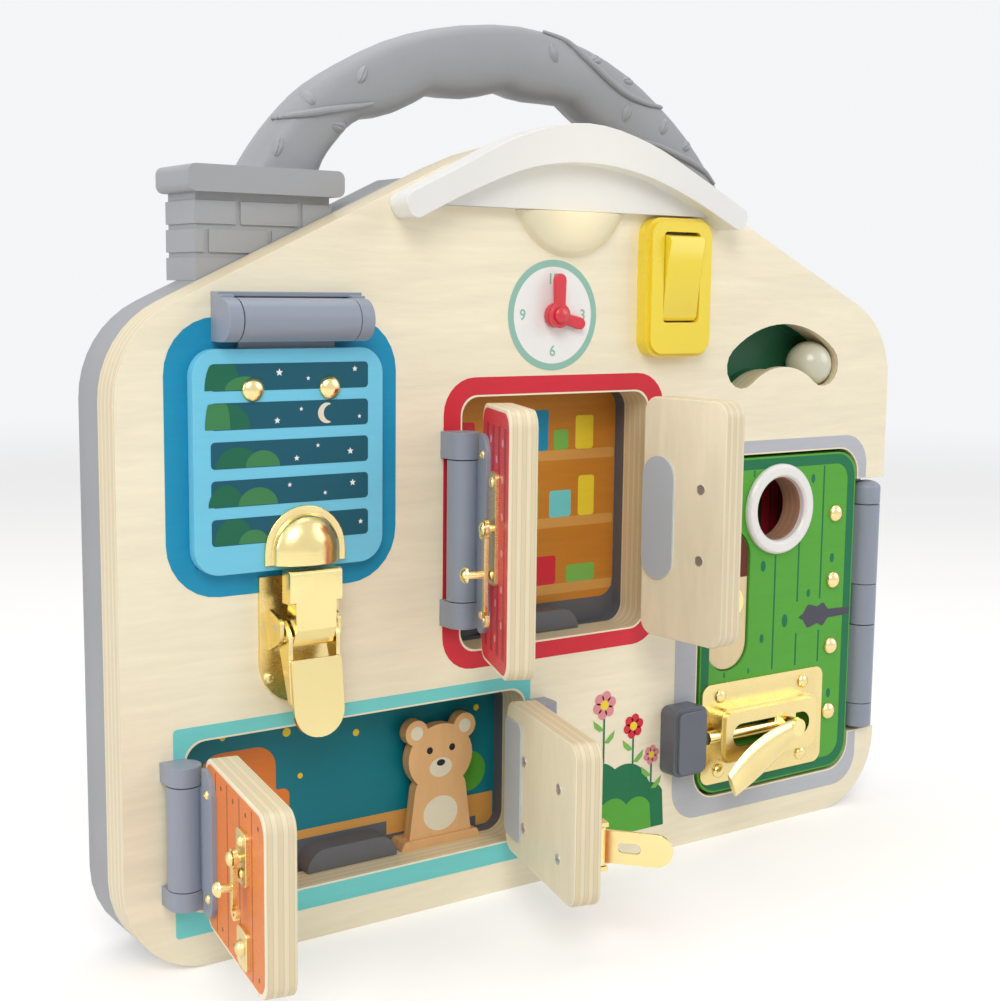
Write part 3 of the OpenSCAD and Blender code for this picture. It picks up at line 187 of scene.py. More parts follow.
def build_wear_group():
    """Handling marks: Smudge is a soft blotch mask, Scratch a fine one, Edge follows raised edges."""
    tree, given, made = new_group(
        "handling_wear", {"Size": 30.0, "Position": (0.0, 0.0, 0.0)}, ("Smudge", "Scratch", "Edge"))
    blotch = noise(tree, given["Position"], given["Size"], 4.0, 0.6)
    streak = vector_maths(tree, "MULTIPLY", given["Position"], (1.0, 1.0, 14.0))
    scratch = noise(tree, streak, maths(tree, "MULTIPLY", given["Size"], 9.0), 8.0, 0.75)
    raised = tree.nodes.new("ShaderNodeNewGeometry").outputs["Pointiness"]
    for label, value, low, high in (("Smudge", blotch, 0.38, 0.66), ("Scratch", scratch, 0.46, 0.62),
                                    ("Edge", raised, 0.5, 0.58)):
        tree.links.new(ramp(tree, value, low, high), made[label])


def build_layers_group():
    """Ply layers on the cut edges of a board whose thickness runs along Axis."""
    tree, given, made = new_group(
        "ply_layers", {"Axis": (0.0, 1.0, 0.0), "Thickness": 0.0018, "Position": (0.0, 0.0, 0.0)},
        ("Layer", "Glue", "Side"))
    depth = vector_maths(tree, "DOT_PRODUCT", given["Position"], given["Axis"])
    steps = maths(tree, "DIVIDE", depth, given["Thickness"])
    every_second = maths(tree, "FRACT", maths(tree, "MULTIPLY", steps, 0.5))
    off_middle = maths(tree, "ABSOLUTE", maths(tree, "SUBTRACT", maths(tree, "FRACT", steps), 0.5))
    normal = tree.nodes.new("ShaderNodeNewGeometry").outputs["True Normal"]
    facing = maths(tree, "ABSOLUTE", vector_maths(tree, "DOT_PRODUCT", normal, given["Axis"]))
    tree.links.new(maths(tree, "GREATER_THAN", every_second, 0.5), made["Layer"])
    tree.links.new(maths(tree, "GREATER_THAN", off_middle, 0.45), made["Glue"])
    tree.links.new(maths(tree, "LESS_THAN", facing, 0.7), made["Side"])


# ---------------------------------------------------------------- kinds of material

def shade(colour, factors=1.0):
    """Opaque colour times one factor, or times one for each channel."""
    if not isinstance(factors, tuple):
        factors = (factors,) * 3
    return tuple(min(1.0, c * f) for c, f in zip(colour, factors)) + (1.0,)


def start_material(name, roughness=0.5, metallic=0.0, coat=0.0, coat_roughness=0.1, specular=0.5):
    """Keeps a new material with its shader; returns its node tree, the shader and the position."""
    material = MATERIALS[name] = bpy.data.materials.new(name)
    material.use_nodes = True
    tree = material.node_tree
    tree.nodes.clear()
    shader = linked(tree, "ShaderNodeBsdfPrincipled", {
        "Roughness": roughness, "Metallic": metallic, "Coat Weight": coat,
        "Coat Roughness": coat_roughness, "Specular IOR Level": specular})
    linked(tree, "ShaderNodeOutputMaterial", {0: shader.outputs[0]})
    return tree, shader, tree.nodes.new("ShaderNodeTexCoord").outputs["Object"]


def finish_surface(tree, shader, colour, rough, height, strength, distance):
    """Links the colour, the roughness where it changes, and the height of the bump."""
    tree.links.new(colour, shader.inputs["Base Color"])
    if rough is not None:
        tree.links.new(rough, shader.inputs["Roughness"])
    bump = linked(tree, "ShaderNodeBump", {"Strength": strength, "Distance": distance, "Height": height})
    tree.links.new(bump.outputs[0], shader.inputs["Normal"])


def wood_material(name, colour, axis=(0.0, 1.0, 0.0), along=GRAIN_ACROSS):
    """Lacquered plywood: figure and fibre on the faces, ply layers on the cut edges."""
    tree, shader, position = start_material(name, coat=0.25, coat_roughness=0.25)
    grain = effect(tree, "wood_grain", position, Along=along, Scale=GRAIN_SCALE)
    layers = effect(tree, "ply_layers", position, Axis=axis)
    wear = effect(tree, "handling_wear", position, Size=22.0)
    face = mixed(tree, grain["Figure"], shade(colour, 1.04), shade(colour, 0.9), 0.55)
    face = mixed(tree, grain["Fibre"], face, shade(colour, 0.78), 0.28)
    cut = mixed(tree, layers["Layer"], shade(colour, (0.87, 0.83, 0.76)), shade(colour, (0.8, 0.73, 0.62)))
    cut = mixed(tree, layers["Glue"], cut, shade(colour, 0.6))
    cut = mixed(tree, grain["Fibre"], cut, shade(colour, 0.62), 0.2)
    finish_surface(tree, shader, mixed(tree, layers["Side"], face, cut),
                   maths(tree, "MULTIPLY_ADD", wear["Smudge"], 0.12, 0.42), grain["Fibre"], 0.18, 0.0004)


def paint_material(name, colour, wood):
    """Satin print or paint with the grain of the wood just showing through."""
    tree, shader, position = start_material(name, 0.42, coat=0.06, coat_roughness=0.3, specular=0.25)
    grain = effect(tree, "wood_grain", position, Along=GRAIN_ACROSS, Scale=GRAIN_SCALE)
    wear = effect(tree, "handling_wear", position, Size=26.0)
    base = mixed(tree, grain["Fibre"], shade(colour), shade(colour, 0.8), wood)
    base = mixed(tree, grain["Figure"], base, shade(colour, 1.14), wood * 0.6)
    base = mixed(tree, wear["Smudge"], base, shade(colour, 0.88), 0.12)
    finish_surface(tree, shader, base, maths(tree, "MULTIPLY_ADD", wear["Scratch"], 0.16, 0.37),
                   grain["Fibre"], 0.1, 0.0003)


def plastic_material(name, colour, roughness, texture=0.25, coat=0.0, speck_size=900.0):
    """Moulded plastic with a fine spark-eroded texture, faint flow marks and rubbed edges."""
    tree, shader, position = start_material(name, roughness, coat=coat, coat_roughness=0.12)
    wear = effect(tree, "handling_wear", position, Size=18.0)
    base = mixed(tree, wear["Smudge"], shade(colour), shade(colour, 0.9), 0.25)
    base = mixed(tree, wear["Edge"], base, shade(colour, 1.22), 0.35)
    finish_surface(tree, shader, base, maths(tree, "MULTIPLY_ADD", wear["Smudge"], 0.1, roughness - 0.04),
                   noise(tree, position, speck_size, 3.0, 0.6), texture, 0.0002)
    return tree, shader, position


def glowing_plastic(name, colour, light, reach, strength):
    """Milky plastic that passes a little warm light, strongest in its middle."""
    tree, shader, position = plastic_material(name, colour, 0.35, 0.08, 0.15)
    away = vector_maths(tree, "DISTANCE", position, LAMP)
    near = faded(tree, away, 0.0, reach, 1.0, 0.0)
    tree.links.new(mixed(tree, near, (0.0, 0.0, 0.0, 1.0), shade(light)), shader.inputs["Emission Color"])
    shader.inputs["Emission Strength"].default_value = strength
    shader.inputs["Subsurface Weight"].default_value = 0.15
    shader.inputs["Subsurface Radius"].default_value = (0.006, 0.004, 0.003)


def metal_material(name, colour, roughness, brushed=0.3):
    """Pressed sheet metal: polished high spots, dull smudges and fine scratches."""
    tree, shader, position = start_material(name, roughness, metallic=1.0)
    wear = effect(tree, "handling_wear", position, Size=38.0)
    base = mixed(tree, wear["Smudge"], shade(colour), shade(colour, 0.82), 0.3)
    base = mixed(tree, wear["Edge"], base, shade(colour, 1.2), 0.5)
    dull = maths(tree, "MULTIPLY_ADD", wear["Smudge"], 0.1, roughness)
    finish_surface(tree, shader, base, maths(tree, "MULTIPLY_ADD", wear["Scratch"], 0.04, dull),
                   wear["Scratch"], brushed, 0.00003)


def cord_material(name, colour):
    """Braided cord: two crossing sets of strands with painted shade in the gaps between them, and a little
    fluff.
    """
    tree, shader, position = start_material(name, 0.8, specular=0.25)
    strands = []
    for tilt in (0.75, -0.75):
        slanted = linked(tree, "ShaderNodeMapping", {"Vector": position, "Rotation": (tilt, 0.0, 0.0)})
        inputs = {"Vector": slanted.outputs[0], "Scale": 380.0, "Distortion": 0.4, "Detail": 1.0}
        strands.append(linked(tree, "ShaderNodeTexWave", inputs, bands_direction="Z").outputs["Fac"])
    weave = maths(tree, "MAXIMUM", *strands)
    # Half the colour between the strands is painted shade in the gaps of the braid
    base = mixed(tree, weave, shade(colour, 0.5), shade(colour))
    base = mixed(tree, effect(tree, "handling_wear", position, Size=60.0)["Smudge"], base,
                 shade(colour, 1.5), 0.3)
    finish_surface(tree, shader, base, None, weave, 0.8, 0.0004)


# ---------------------------------------------------------------- flat outlines of (x, z) points

def corner_points(a, b, c, radius):
    """Points of one rounded corner at b, between a and c."""
    a, b, c = Vector(a), Vector(b), Vector(c)
    u, v = (a - b).normalized(), (c - b).normalized()
    half = math.acos(max(-1.0, min(1.0, u.dot(v)))) / 2
    centre = b + (u + v).normalized() * (radius / math.sin(half))
    start, end = b + u * (radius / math.tan(half)), b + v * (radius / math.tan(half))
    a0 = math.atan2(start.y - centre.y, start.x - centre.x)
    turn = math.atan2(end.y - centre.y, end.x - centre.x) - a0
    turn = (turn + math.pi) % (2 * math.pi) - math.pi
    angles = [a0 + turn * i / CORNER_STEPS for i in range(CORNER_STEPS + 1)]
    return [(centre.x + radius * math.cos(a), centre.y + radius * math.sin(a)) for a in angles]


def rounded(points, radii):
    """Outline through points, with one radius for all corners or one for each."""
    count = len(points)
    if isinstance(radii, (int, float)):
        radii = [radii] * count
    loop = []
    for i, point in enumerate(points):
        if radii[i] > 0:
            loop += corner_points(points[i - 1], point, points[(i + 1) % count], radii[i])
        else:
            loop.append(tuple(point))
    return loop


def box_loop(box, radius, grow=0.0):
    """Rounded rectangle: left, right, bottom and top, all moved out by grow."""
    left, right, low, high = box
    return rounded([(left - grow, low - grow), (right + grow, low - grow),
                    (right + grow, high + grow), (left - grow, high + grow)], radius)


def circle_loop(x, z, radius, steps, height=None):
    """Circle, or an ellipse with half its height given."""
    height = radius if height is None else height
    angles = [2 * math.pi * i / steps for i in range(steps)]
    return [(x + radius * math.cos(a), z + height * math.sin(a)) for a in angles]


def arc(x, z, radius, start, stop, step=10):
    """Points of a circle between two angles in degrees."""
    angles = [math.radians(a) for a in range(start, stop, step)]
    return [(x + radius * math.cos(a), z + radius * math.sin(a)) for a in angles]


def star_loop(x, z, radius):
    """Star of five points."""
    spokes = [(radius if i % 2 == 0 else radius * 0.45, math.radians(90 + 36 * i)) for i in range(10)]
    return [(x + r * math.cos(a), z + r * math.sin(a)) for r, a in spokes]


def crescent(x, z, outer, inner, shift, tips):
    """Moon left between a circle and a smaller one to its right; tips are the angles they end at."""
    return (arc(x, z, outer, tips[0], 361 - tips[0])
            + arc(x + shift, z, inner, 360 - tips[1], tips[1] - 1, -10))


# ---------------------------------------------------------------- mesh helpers

def leaf_turn(body):
    """Matrix from a leaf's closed place to where it stands open; other bodies stay."""
    if body not in LEAVES:
        return Matrix.Identity(4)
    hinge_x, side, angle = LEAVES[body]
    pivot = Matrix.Translation((hinge_x, HINGE_Y, 0))
    return pivot @ Matrix.Rotation(math.radians(side * angle), 4, "Z") @ pivot.inverted()


def add_sheet(bm, loops, front, back):
    """Flat panel with holes; the first loop is the outline. front and back are its Y faces."""
    flat = [[Vector((x, z, 0)) for x, z in loop] for loop in loops]
    triangles = tessellate_polygon(flat)
    layers = [[bm.verts.new((p.x, y, p.y)) for loop in flat for p in loop] for y in (front, back)]
    for verts in layers:
        for corners in triangles:
            bm.faces.new([verts[i] for i in corners])
    start = 0
    for loop in flat:
        count = len(loop)
        for i in range(count):
            a, b = start + i, start + (i + 1) % count
            bm.faces.new((layers[0][a], layers[0][b], layers[1][b], layers[1][a]))
        start += count


def ring(bm, centre, side, other, radius, steps):
    """Circle of vertices in the plane of two directions, or one vertex without a radius."""
    if radius < 1e-6:
        return [bm.verts.new(centre)]
    angles = [2 * math.pi * i / steps for i in range(steps)]
    return [bm.verts.new(centre + radius * (side * math.cos(a) + other * math.sin(a))) for a in angles]


def join_rings(bm, rings):
    """Faces from each ring to the next one, which may be a single vertex."""
    for lower, upper in zip(rings, rings[1:]):
        for i in range(len(lower)):
            j = (i + 1) % len(lower)
            top = upper if len(upper) == 1 else (upper[j], upper[i])
            bm.faces.new((lower[i], lower[j], *top))


def add_lathe(bm, profile, origin, steps):
    """Turned shape: profile holds (radius, height) pairs, heights forwards from the origin."""
    spin = Vector((0, -1, 0))
    side = spin.orthogonal().normalized()
    join_rings(bm, [ring(bm, Vector(origin) + spin * height, side, spin.cross(side), radius, steps)
                    for radius, height in profile])


def add_tube(bm, path, radius, steps, taper=None):
    """Round tube along path; taper gives a factor for the radius at each point."""
    rings = []
    up = Vector((0.3, -1.0, 0.2))  # no path runs along it
    for i, point in enumerate(path):
        ahead = path[min(i + 1, len(path) - 1)] - path[max(i - 1, 0)]
        side = ahead.cross(up).normalized()
        rings.append(ring(bm, point, side, side.cross(ahead).normalized(),
                          radius * (taper[i] if taper else 1.0), steps))
    join_rings(bm, rings)
    bm.faces.new(rings[0])
    bm.faces.new(list(reversed(rings[-1])))


def new_piece(name, mesh, finish, body):
    """Object with a finish that rides on a body."""
    piece = bpy.data.objects.new(name, mesh)
    bpy.context.scene.collection.objects.link(piece)
    mesh.materials.clear()
    mesh.materials.append(MATERIALS[finish])
    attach(piece, body)
    return piece


def finished(name, bm, finish, body, smooth=True, bevel=0.0):
    """Turns a millimetre mesh, drawn with its leaf closed, into a piece in the board's frame."""
    bmesh.ops.transform(bm, matrix=leaf_turn(body), verts=bm.verts)
    bmesh.ops.scale(bm, vec=(MM, MM, MM), verts=bm.verts)
    bmesh.ops.recalc_face_normals(bm, faces=bm.faces)
    mesh = bpy.data.meshes.new(name)
    bm.to_mesh(mesh)
    bm.free()
    if smooth:
        mesh.polygons.foreach_set("use_smooth", [True] * len(mesh.polygons))
        mesh.set_sharp_from_angle(angle=CREASE)
    piece = new_piece(name, mesh, finish, body)
    if bevel > 0:
        round_edges(piece, bevel)
    return piece


def smooth_by_angle():
    """Geometry nodes that weld a solid and shade it smooth, apart from its sharp edges."""
    tree = bpy.data.node_groups.new("smooth_by_angle", "GeometryNodeTree")
    tree.is_modifier = True
    for way in ("INPUT", "OUTPUT"):
        tree.interface.new_socket("Geometry", in_out=way, socket_type="NodeSocketGeometry")
    angle = tree.nodes.new("GeometryNodeInputMeshEdgeAngle").outputs[0]
    sharp = linked(tree, "FunctionNodeCompare", {0: angle, 1: CREASE}, data_type="FLOAT",
                   operation="GREATER_THAN").outputs[0]
    geometry = tree.nodes.new("NodeGroupInput").outputs[0]
    for kind, inputs, settings in (
            ("RemoveAttribute", {"Name": "custom_normal"}, {}),
            ("MergeByDistance", {"Distance": WELD}, {}),
            ("SetShadeSmooth", {"Shade Smooth": True}, {"domain": "FACE"}),
            ("SetShadeSmooth", {"Selection": sharp, "Shade Smooth": False}, {"domain": "EDGE"})):
        node = linked(tree, "GeometryNode" + kind, {"Geometry": geometry, **inputs}, **settings)
        geometry = node.outputs[0]
    linked(tree, "NodeGroupOutput", {0: geometry})
    return tree


def round_edges(obj, width):
    """Softens the sharp edges of a piece or of a carried-over solid."""
    bevel = obj.modifiers.new("rounded_edges", "BEVEL")
    bevel.width = width * MM
    bevel.segments = 2
    bevel.limit_method = "ANGLE"
    bevel.angle_limit = ROUNDED
    bevel.use_clamp_overlap = True
    bevel.harden_normals = True


def print_depth():
    """Thickness of a print that lies on a bare face, in millimetres."""
    return sizes().print_depth / MM


def print_sheet(name, shapes, finish, place=ON_BOARD, under=0.0, thick=None):
    """Printed areas on a face, over prints of a thickness; each shape is a list of loops."""
    face, body, slot = place
    if thick is None:
        thick = INK if under else print_depth()
    bm = bmesh.new()
    for loops in shapes:
        add_sheet(bm, loops, face - under - thick, face - under)
    finished(name, bm, finish, body, smooth=False)


def on_handle(x, z, lift=0.0):
    """Point and normal where a line from the front meets the handle, in millimetres."""
    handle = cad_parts["handle_front"]
    hit, place, normal, _ = handle.ray_cast(Vector((x, -200, z)) * MM, Vector((0, 1, 0)))
    if not hit:
        raise RuntimeError(f"no handle behind {x}, {z}")
    return place / MM + normal * lift, normal


def smooth_points(points, steps):
    """Smooth (Catmull-Rom) curve through points, as vectors."""
    points = [Vector(p) for p in points]
    result = []
    for i in range(steps + 1):
        t = (len(points) - 1) * i / steps
        k = min(len(points) - 2, int(t))
        u = t - k
        p1, p2 = points[k], points[k + 1]
        p0 = points[k - 1] if k > 0 else 2 * p1 - p2
        p3 = points[k + 2] if k < len(points) - 2 else 2 * p2 - p1
        result.append(0.5 * (2 * p1 + (p2 - p0) * u + (2 * p0 - 5 * p1 + 4 * p2 - p3) * u * u
                             + (3 * p1 - p0 - 3 * p2 + p3) * u * u * u))
    return result


# ---------------------------------------------------------------- settings

def colour_setting(name, description, default):
    """Colour that the user may change."""
    return bpy.props.FloatVectorProperty(name=name, description=description, default=default, size=3,
                                         min=0.0, max=1.0, subtype="COLOR")


def length_setting(name, description, default, low, high):
    """Length in metres that the user may change."""
    return bpy.props.FloatProperty(name=name, description=description, default=default, min=low, max=high,
                                   unit="LENGTH", subtype="DISTANCE")


class BoardColours(bpy.types.PropertyGroup):
    """Colours of the wood, the paints, the plastics and the metal"""
    maple: colour_setting("Maple", "Pale plywood of the board and the leaves", (0.96, 0.88, 0.67))
    grey: colour_setting("Housing grey", "Moulded housing, handle and chimney", (0.325, 0.335, 0.355))
    hinge_grey: colour_setting("Hinge grey", "Moulded barrel hinges", (0.275, 0.31, 0.385))
    tray_grey: colour_setting("Tray grey", "Trays behind the openings", (0.12, 0.125, 0.145))
    blue: colour_setting("Blue", "Printed frame round the shutter", (0.012, 0.30, 0.52))
    pale_blue: colour_setting("Pale blue", "Shutter", (0.19, 0.63, 0.86))
    night: colour_setting("Night blue", "Sky behind the shutter", (0.007, 0.04, 0.13))
    red: colour_setting("Red", "Frame and leaves of the upper window, clock hands", (0.70, 0.03, 0.05))
    teal: colour_setting("Teal", "Frame of the lower window", (0.19, 0.68, 0.68))
    deep_teal: colour_setting("Deep teal", "Back of the lower window", (0.004, 0.20, 0.26))
    orange: colour_setting("Orange", "Planks of the lower leaves", (0.82, 0.225, 0.04))
    green: colour_setting("Green", "Planks of the door", (0.10, 0.41, 0.045))
    deep_green: colour_setting("Deep green", "Border of the door and the bushes", (0.01, 0.18, 0.07))
    yellow: colour_setting("Yellow", "Light switch, drawn lights and flower hearts", (0.94, 0.71, 0.045))
    brass: colour_setting("Brass", "Latches, hooks and rivets", (0.82, 0.67, 0.32))
    white: colour_setting("White", "Roof cover and porthole ring", (0.88, 0.88, 0.86))


class BoardSizes(bpy.types.PropertyGroup):
    """Sizes of the finish and the trim"""
    edge: length_setting("Edge rounding", "Rounding of the wooden edges", 0.0008, 0.0002, 0.002)
    small_edge: length_setting("Metal edge rounding", "Rounding of the pressed metal edges", 0.00035, 0.0001,
                               0.0006)
    print_depth: length_setting("Print thickness", "How far a print stands on the wood", 0.00012, 0.00005,
                                0.0002)
    cord: length_setting("Cord diameter", "Thickness of the lanyard", 0.003, 0.002, 0.003)
    glow: bpy.props.FloatProperty(name="Lamp glow", description="Strength of the lamp behind its diffuser",
                                  default=0.45, min=0.0, max=2.0)


def colours():
    """The colours that the user has set."""
    return bpy.context.scene.board_colours


def sizes():
    """The sizes that the user has set."""
    return bpy.context.scene.board_sizes


def build_materials():
    """Every finish, built once and kept by name."""
    c = colours()
    build_grain_group()
    build_wear_group()
    build_layers_group()
    wood_material("maple_plywood", c.maple)
    for leaf in LEAVES:
        wood_material(leaf + "_plywood", c.maple, tuple(leaf_turn(leaf).to_3x3() @ Vector((0, 1, 0))),
                      GRAIN_UPRIGHT)
    wood_material("figure_wood", (0.80, 0.47, 0.21), along=(8.0, 8.0, 1.4))
    wood_material("lining_wood", (0.56, 0.34, 0.24), along=(8.0, 1.4, 8.0))
    wood_material("lock_plate_wood", (0.88, 0.70, 0.42), along=(8.0, 8.0, 1.2))
    # Paints and prints by how much of the grain shows through
    for wood, paints in (
            (0.35, {"frame_blue": c.blue, "window_red": c.red, "window_dark_red": (0.36, 0.015, 0.03),
                    "print_pink": (0.80, 0.30, 0.33), "window_teal": c.teal, "plank_orange": c.orange,
                    "plank_groove": (0.30, 0.06, 0.02), "shelf_tan": (0.72, 0.36, 0.09),
                    "door_green": c.green, "leaf_green": (0.22, 0.52, 0.10),
                    "border_green": c.deep_green, "surround_grey": (0.53, 0.55, 0.60),
                    # The second, darker brown is painted shade, for the recess in the lock plate
                    "print_brown": (0.14, 0.055, 0.025), "painted_recess_shade_brown": (0.14, 0.022, 0.011),
                    "print_cream": (0.82, 0.76, 0.60), "print_yellow": c.yellow}),
            (0.6, {"shelf_brown": (0.62, 0.24, 0.03)}),
            (0.3, {"night_blue": c.night}),
            (0.25, {"shutter_blue": c.pale_blue}),
            (0.2, {"recess_teal": c.deep_teal, "slot_teal": (0.008, 0.10, 0.15),
                   "slot_green": (0.012, 0.14, 0.075), "slot_light_green": (0.05, 0.23, 0.085),
                   "dial_teal": (0.31, 0.56, 0.47)}),
            (0.15, {"strap_grey": (0.075, 0.075, 0.10)}),
            (0.12, {"print_white": (0.93, 0.93, 0.92)}),
            (0.1, {"print_ink": (0.02, 0.025, 0.03)})):
        for name, colour in paints.items():
            paint_material(name, colour, wood)
    # Colour, roughness, texture, coat and size of the specks
    for name, *values in (
            ("housing_plastic", c.grey, 0.5, 0.35),
            ("chimney_plastic", shade(c.grey, 1.1), 0.55, 0.5, 0.0, 420.0),
            ("hinge_plastic", c.hinge_grey, 0.38, 0.12),
            ("tray_plastic", c.tray_grey, 0.5, 0.3),
            ("switch_plastic", c.yellow, 0.25, 0.04, 0.3),
            ("porthole_plastic", c.white, 0.28, 0.05, 0.2),
            ("hand_plastic", c.red, 0.28, 0.04, 0.3),
            ("ball_plastic", (0.66, 0.66, 0.51), 0.22, 0.03, 0.4),
            ("track_plastic", (0.02, 0.15, 0.07), 0.5),
            # The pads are hinge plastic painted much paler than the hinge grey: painted light on the insides
            # of the leaves
            ("pad_plastic", (0.50, 0.56, 0.63), 0.35, 0.08),
            ("strike_plastic", (0.12, 0.135, 0.17), 0.36, 0.1),
            ("dark_plastic", (0.055, 0.06, 0.07), 0.42),
            ("cell_sleeve", (0.05, 0.06, 0.08), 0.3),
            ("circuit_board", (0.01, 0.16, 0.06), 0.35)):
        plastic_material(name, *values)
    glow = sizes().glow
    glowing_plastic("roof_plastic", shade(c.white, 0.92), (1.0, 0.84, 0.45), 0.07, glow * 0.25)
    glowing_plastic("lamp_plastic", (0.74, 0.68, 0.50), (1.0, 0.86, 0.45), 0.032, glow)
    metal_material("pressed_brass", c.brass, 0.22)
    metal_material("polished_brass", shade(c.brass, 1.08), 0.14, 0.15)
    metal_material("zinc_steel", (0.62, 0.62, 0.64), 0.3)
    metal_material("copper_key", (0.72, 0.40, 0.20), 0.25)
    cord_material("lanyard_weave", (0.01, 0.30, 0.16))


# ---------------------------------------------------------------- pieces

class BoardOperator(bpy.types.Operator):
    """Shared base of the board's build steps"""
    bl_options = {"REGISTER", "UNDO"}


class BOARD_OT_finishes(BoardOperator):
    """Give every carried-over solid its material and soften its edges"""
    bl_idname = "board.finishes"
    bl_label = "Finishes"

    MOULDED_EDGE = 0.5
    BOARD_EDGE = 1.3  # times the edge of the other wood
    FLAT = math.radians(0.3)  # faces that differ by less are joined

    WOOD = {
        "maple_plywood": "front_board", **{leaf + "_plywood": leaf for leaf in LEAVES},
        "figure_wood": "figure", "shutter_blue": "shutter", "door_green": "door",
        "lock_plate_wood": "lock_plate",
    }
    MOULDED = {
        "housing_plastic": "rear_housing battery_door handle_front handle_back",
        "chimney_plastic": "chimney", "tray_plastic": "recess_trays", "roof_plastic": "roof_cover",
        "lamp_plastic": "lamp_dome", "porthole_plastic": "porthole_ring",
        "switch_plastic": "switch_plate rocker", "hand_plastic": "clock_spindle minute_hand hour_hand",
        "ball_plastic": "ball", "track_plastic": "ball_track", "strike_plastic": "bolt_strike",
        "dark_plastic": "switch_body lanyard_clip", "cell_sleeve": "battery_cells",
        "circuit_board": "lamp_board",
        "hinge_plastic": "shutter_hinge_bracket shutter_hinge_leaf door_hinge_leaf door_hinge_bracket "
                         "upper_hinge_brackets upper_left_hinge upper_right_hinge "
                         "lower_hinge_brackets lower_left_hinge lower_right_hinge",
    }
    METAL = {
        "pressed_brass": "latch_base window_hook_plate window_hook_keeper lower_hook_plate "
                         "lower_hasp_plate slide_frame",
        "polished_brass": "shutter_fittings latch_lever latch_hasp window_hook lower_hook lower_hasp "
                          "door_rivets lock_cylinder slide_bolt",
        "zinc_steel": "pivot_pins housing_screws battery_contacts", "copper_key": "key",
    }
    # Nodes that need no rounding, and those whose faces aren't joined before it
    KEEP_SHARP = {"ball", "battery_door", "lamp_dome", "battery_cells", "pivot_pins", "housing_screws",
                  "battery_contacts", "lamp_board", "switch_body", "handle_front", "handle_back",
                  "slide_bolt"}
    KEEP_TRIANGLES = {"recess_trays", "window_hook"}

    def execute(self, context):
        build_materials()
        shading = smooth_by_angle()
        wooden, pressed = sizes().edge / MM, sizes().small_edge / MM
        for table, edge in ((self.WOOD, wooden), (self.MOULDED, self.MOULDED_EDGE), (self.METAL, pressed)):
            for finish, nodes in table.items():
                for node in nodes.split():
                    self.dress(node, MATERIALS[finish], shading, edge)
        return {"FINISHED"}

    def dress(self, node, material, shading, edge):
        """Finish of one carried-over solid"""
        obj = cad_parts[node]
        if not obj.material_slots:
            obj.data.materials.append(material)
        for slot in obj.material_slots:
            slot.material = material
        obj.modifiers.new("smooth_by_angle", "NODES").node_group = shading
        if node in self.KEEP_SHARP:
            return
        if node not in self.KEEP_TRIANGLES:
            joined = obj.modifiers.new("joined_flats", "DECIMATE")
            joined.decimate_type = "DISSOLVE"
            joined.angle_limit = self.FLAT
        round_edges(obj, edge * self.BOARD_EDGE if node == "front_board" else edge)


